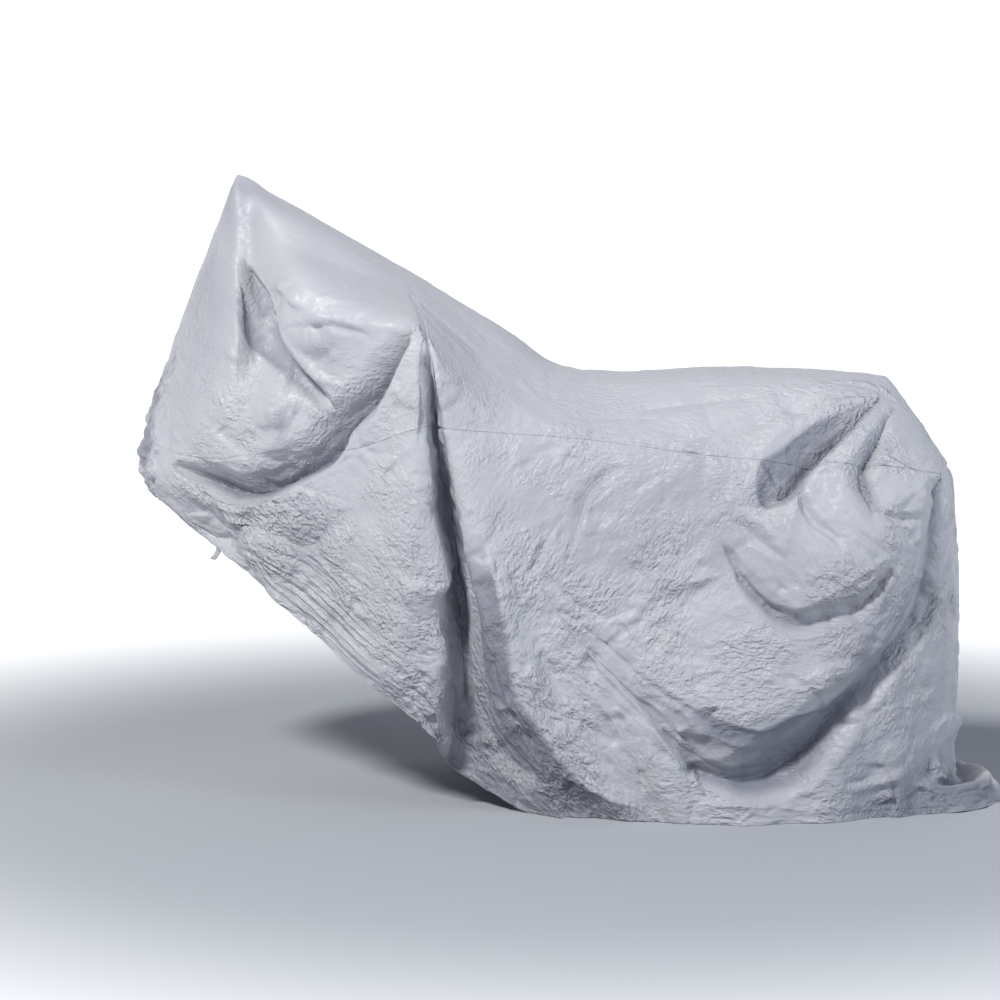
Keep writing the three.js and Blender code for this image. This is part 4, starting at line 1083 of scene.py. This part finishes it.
def cloth_material():
    """Coated cloth: a little lighter and darker in patches, darkened by painted shade in its folds and shaded
    places, semi-gloss, with fine crinkles all over.
    """
    material, tree, shader = new_material(
        "silver coated cloth", Metallic=0.0, Specular_IOR_Level=CLOTH["gloss"],
    )
    where = place_in(tree)
    lay = new_node(tree, "SeparateXYZ", Vector=mark_of(tree, "lay", "Vector")).outputs
    colour = mixed(tree, CLOTH["light"], CLOTH["dark"], noise_at(tree, where, CLOTH["scale"], 2.0))
    # painted shade: the colour goes towards the shade colour where the painted shade mask is high
    colour = mixed(tree, colour, CLOTH["painted_shade"], mark_of(tree, "painted_shade_mask", "Fac"))
    rough = ranged(tree, noise_at(tree, where, CLOTH["rough scale"], 1.0), 0.3, 0.7, *CLOTH["rough"])
    patch = noise_at(tree, where, PATCHES["scale"], 1.0)
    patch = ranged(tree, patch, *PATCHES["range"], *PATCHES["share"])
    wandering = warped(tree, where)
    height = streak_height(tree, wandering, lay)
    height = calculate(tree, "ADD", height, crease_height(tree, wandering))
    height = calculate(tree, "MULTIPLY", height, calculate(tree, "MULTIPLY", patch, lay["Z"]))
    fed(tree, shader, Base_Color=colour, Roughness=rough, Normal=bumped(tree, height))
    return material


def webbing_material():
    """Pale woven strap: fine ribs across it."""
    material, tree, shader = new_material("pale webbing", Roughness=WEBBING["rough"])
    where = place_in(tree)
    speckle = new_node(tree, "TexNoise", Scale=WEBBING["scale"], Detail=2.0, Vector=where).outputs["Fac"]
    ribs = new_node(tree, "TexWave", Scale=WEBBING["ribs"], Distortion=WEBBING["wander"], Vector=where)
    ribs.bands_direction = "Z"
    colour = mixed(tree, WEBBING["dark"], WEBBING["light"], speckle)
    normal = bumped(tree, ribs.outputs["Fac"], WEBBING["strength"], WEBBING["height"])
    fed(tree, shader, Base_Color=colour, Normal=normal)
    return material


# The strap end: how far its tip swings towards the nose and how far it curls, in millimetres, and how it
# turns outward on the way down. Its section is round by the powers, and it is thinner at its two ends.
STRAP_END = {
    "swing": 15, "swings": (-1.0, 0.0, 0.12), "curl": 0.27, "twist": 2.5, "turns": (1.0, 0.1, 0.0),
    "rings": 22, "corners": 16, "powers": (0.35, 0.6),
    "width": 0.97, "width at ends": 0.94, "thick": 0.8, "thick at ends": 0.72, "ends": 1 / 8,
}


def make_strap(name):
    """The strap end in the place of its CAD solid: a soft woven strip with round edges and a slight curl."""
    corners = np.array([v.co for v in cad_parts["hem_tab"].data.vertices])
    middle = corners.mean(axis=0)
    _, _, axes = np.linalg.svd(corners - middle)
    length, width, thick = (2 * np.abs((corners - middle) @ axis).max() for axis in axes)
    along, aside = axes[0] * np.sign(axes[0][2]), axes[1] * np.sign(axes[1][0])
    n = STRAP_END["corners"]
    section = [(math.cos(a), math.sin(a)) for a in np.linspace(0, 2 * math.pi, n, endpoint=False)]
    vertices = []
    for t in np.linspace(-0.5, 0.5, STRAP_END["rings"]):
        close = min(1.0, (0.5 - abs(t)) / STRAP_END["ends"] + STRAP_END["thick at ends"])
        half = width / 2 * STRAP_END["width" if close == 1 else "width at ends"]
        curl = STRAP_END["curl"] * MM * math.sin(3 * math.pi * t)
        free = 0.5 - t
        wide = aside + np.array(STRAP_END["turns"]) * STRAP_END["twist"] * free
        wide = wide / np.linalg.norm(wide)
        face = np.cross(along, wide)
        centre = middle + along * t * length
        centre = centre + np.array(STRAP_END["swings"]) * STRAP_END["swing"] * MM * free * free
        for c, s in section:
            across = math.copysign(abs(c) ** STRAP_END["powers"][0], c) * half
            lift = math.copysign(abs(s) ** STRAP_END["powers"][1], s) * thick / 2 * STRAP_END["thick"] * close
            vertices.append(tuple(centre + wide * across + face * (lift + curl)))
    last = len(vertices) - n
    faces = [(k + i, k + (i + 1) % n, k + n + (i + 1) % n, k + n + i)
             for k in range(0, last, n) for i in range(n)]
    faces += [tuple(range(n))[::-1], tuple(range(last, last + n))]
    mesh = bpy.data.meshes.new(name)
    mesh.from_pydata(vertices, [], faces)
    return smooth_piece(name, mesh, lambda body: bmesh.ops.recalc_face_normals(body, faces=body.faces))


# The fine grid and the move from the drawing's frame onto the CAD frame
core = NET[1:-1, 1:-1]
across_places = places_between(widest(core, 0), CELL["across"])
row_lengths = widest(core, 1)


def make_cloth(side, coarse):
    crown = places_between(row_lengths[:SEAM_ROW], CELL["crown"] * coarse)
    skirt = SEAM_ROW + places_between(row_lengths[SEAM_ROW:], CELL["skirt"] * coarse)
    return Cloth(side, across_places, np.concatenate([crown, skirt[1:]]))


left, right = make_cloth(LEFT, 1), make_cloth(RIGHT, CELL["far"])
shift = (
    (cad_low.x + cad_high.x) / 2 - DRAWN_MIDDLE["x"] * MM,
    (cad_low.y + cad_high.y) / 2 - DRAWN_MIDDLE["y"] * MM,
    cad_low.z,
)

near, far = left.lower(), right.lower()
front, rear = left.front, left.rear
pieces = {
    "crown_panel": join("crown_cloth", [(left.crown(), LEFT), (right.crown(), RIGHT)]),
    "left_skirt": join("left_skirt_cloth", [(near[front:rear + 1], LEFT)]),
    "right_skirt": join("right_skirt_cloth", [(far[front:rear + 1], RIGHT)]),
    "front_panel": join("front_cloth", [(near[:front + 1], LEFT), (far[:front + 1], RIGHT)]),
    "rear_panel": join("rear_cloth", [(near[rear:], LEFT), (far[rear:], RIGHT)]),
}
strap = make_strap("strap_end")

silver = cloth_material()
for node, piece in pieces.items():
    piece.data.materials.append(silver)
    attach(piece, "root")
    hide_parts(node)
strap.data.materials.append(webbing_material())
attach(strap, "root")
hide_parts("hem_tab")


# Lights: name, place, target, width and height, power in watts and colour
LIGHTS = [
    ("key", (-2.7, -5.45, 6.4), (0.0, 0.0, 0.7), (1.3, 1.3), 780, (1.0, 0.985, 0.955)),
    ("rear", (5.4, -2.2, 2.4), (0.5, 0.0, 0.6), (2.4, 2.4), 135, (0.84, 0.89, 1.0)),
]
SURROUND = {
    "dim": (0.04, 0.054, 0.095, 1), "low": (0.43, 0.44, 0.46, 1), "rise": 0.28,
    "white": (1.05, 1.05, 1.05, 1), "behind": (0.3, 0.8),
}
FLOOR = {
    "size": 300.0, "near": 1.2, "far": 3.2, "glow": 1.0, "colour": (0.39, 0.41, 0.445, 1),
    "rough": 0.9, "gloss": 0.1,
}


def make_floor():
    """A pale floor that grows white away from the cover."""
    size = FLOOR["size"]
    mesh = bpy.data.meshes.new("floor")
    corners = [(-size, -size, 0), (size, -size, 0), (size, size, 0), (-size, size, 0)]
    mesh.from_pydata(corners, [], [(0, 1, 2, 3)])
    floor = placed("floor", mesh)
    pale, tree, shader = new_material(
        "pale floor", Base_Color=FLOOR["colour"], Roughness=FLOOR["rough"],
        Specular_IOR_Level=FLOOR["gloss"], Emission_Color=(1, 1, 1, 1),
    )
    away = calculate(tree, "LENGTH", place_in(tree), kind="VectorMath")
    glow = ranged(tree, away, FLOOR["near"], FLOOR["far"], 0, FLOOR["glow"])
    fed(tree, shader, Emission_Strength=glow)
    mesh.materials.append(pale)


def make_surround():
    """White behind the cover and dim on all other sides, so that its folds keep their shade. Towards
    the horizon the dim sides grow pale."""
    world = bpy.data.worlds.new("surround")
    bpy.context.scene.world = world
    world.use_nodes = True
    tree = world.node_tree
    parts = new_node(tree, "SeparateXYZ", Vector=place_in(tree, "Generated")).outputs
    high = ranged(tree, parts["Z"], 0, SURROUND["rise"], 0, 1)
    behind = ranged(tree, parts["Y"], *SURROUND["behind"], 0, 1)
    sides = mixed(tree, SURROUND["low"], SURROUND["dim"], high)
    fed(tree, tree.nodes["Background"], Color=mixed(tree, sides, SURROUND["white"], behind))


def make_lights():
    for name, place, target, (width, height), power, colour in LIGHTS:
        light = bpy.data.lights.new(name, "AREA")
        light.shape = "RECTANGLE"
        light.size, light.size_y = width, height
        light.energy = power
        light.color = colour
        lamp = placed(name, light)
        lamp.location = place
        lamp.rotation_euler = (Vector(place) - Vector(target)).to_track_quat("Z", "Y").to_euler()


# The camera stands as the photograph's did; the image is 1000 pixels wide
VIEW = {"azimuth": 10, "elevation": 6, "distance": 6.5, "target": (-0.163, 0.0336, 0.65)}
SENSOR, PIXELS, PIXEL_SIZE = 36.0, 1000, 0.0023


def make_camera():
    azimuth, elevation = math.radians(VIEW["azimuth"]), math.radians(VIEW["elevation"])
    level = math.cos(elevation)
    back = Vector((math.sin(azimuth) * level, -math.cos(azimuth) * level, math.sin(elevation)))
    camera = bpy.data.cameras.new("camera")
    camera.sensor_width = SENSOR
    camera.lens = SENSOR * VIEW["distance"] / PIXEL_SIZE / PIXELS
    holder = placed("camera", camera)
    holder.location = Vector(VIEW["target"]) + back * VIEW["distance"]
    holder.rotation_euler = back.to_track_quat("Z", "Y").to_euler()
    bpy.context.scene.camera = holder


make_floor()
make_surround()
make_lights()
make_camera()
view = bpy.context.scene.view_settings
view.view_transform = "Standard"
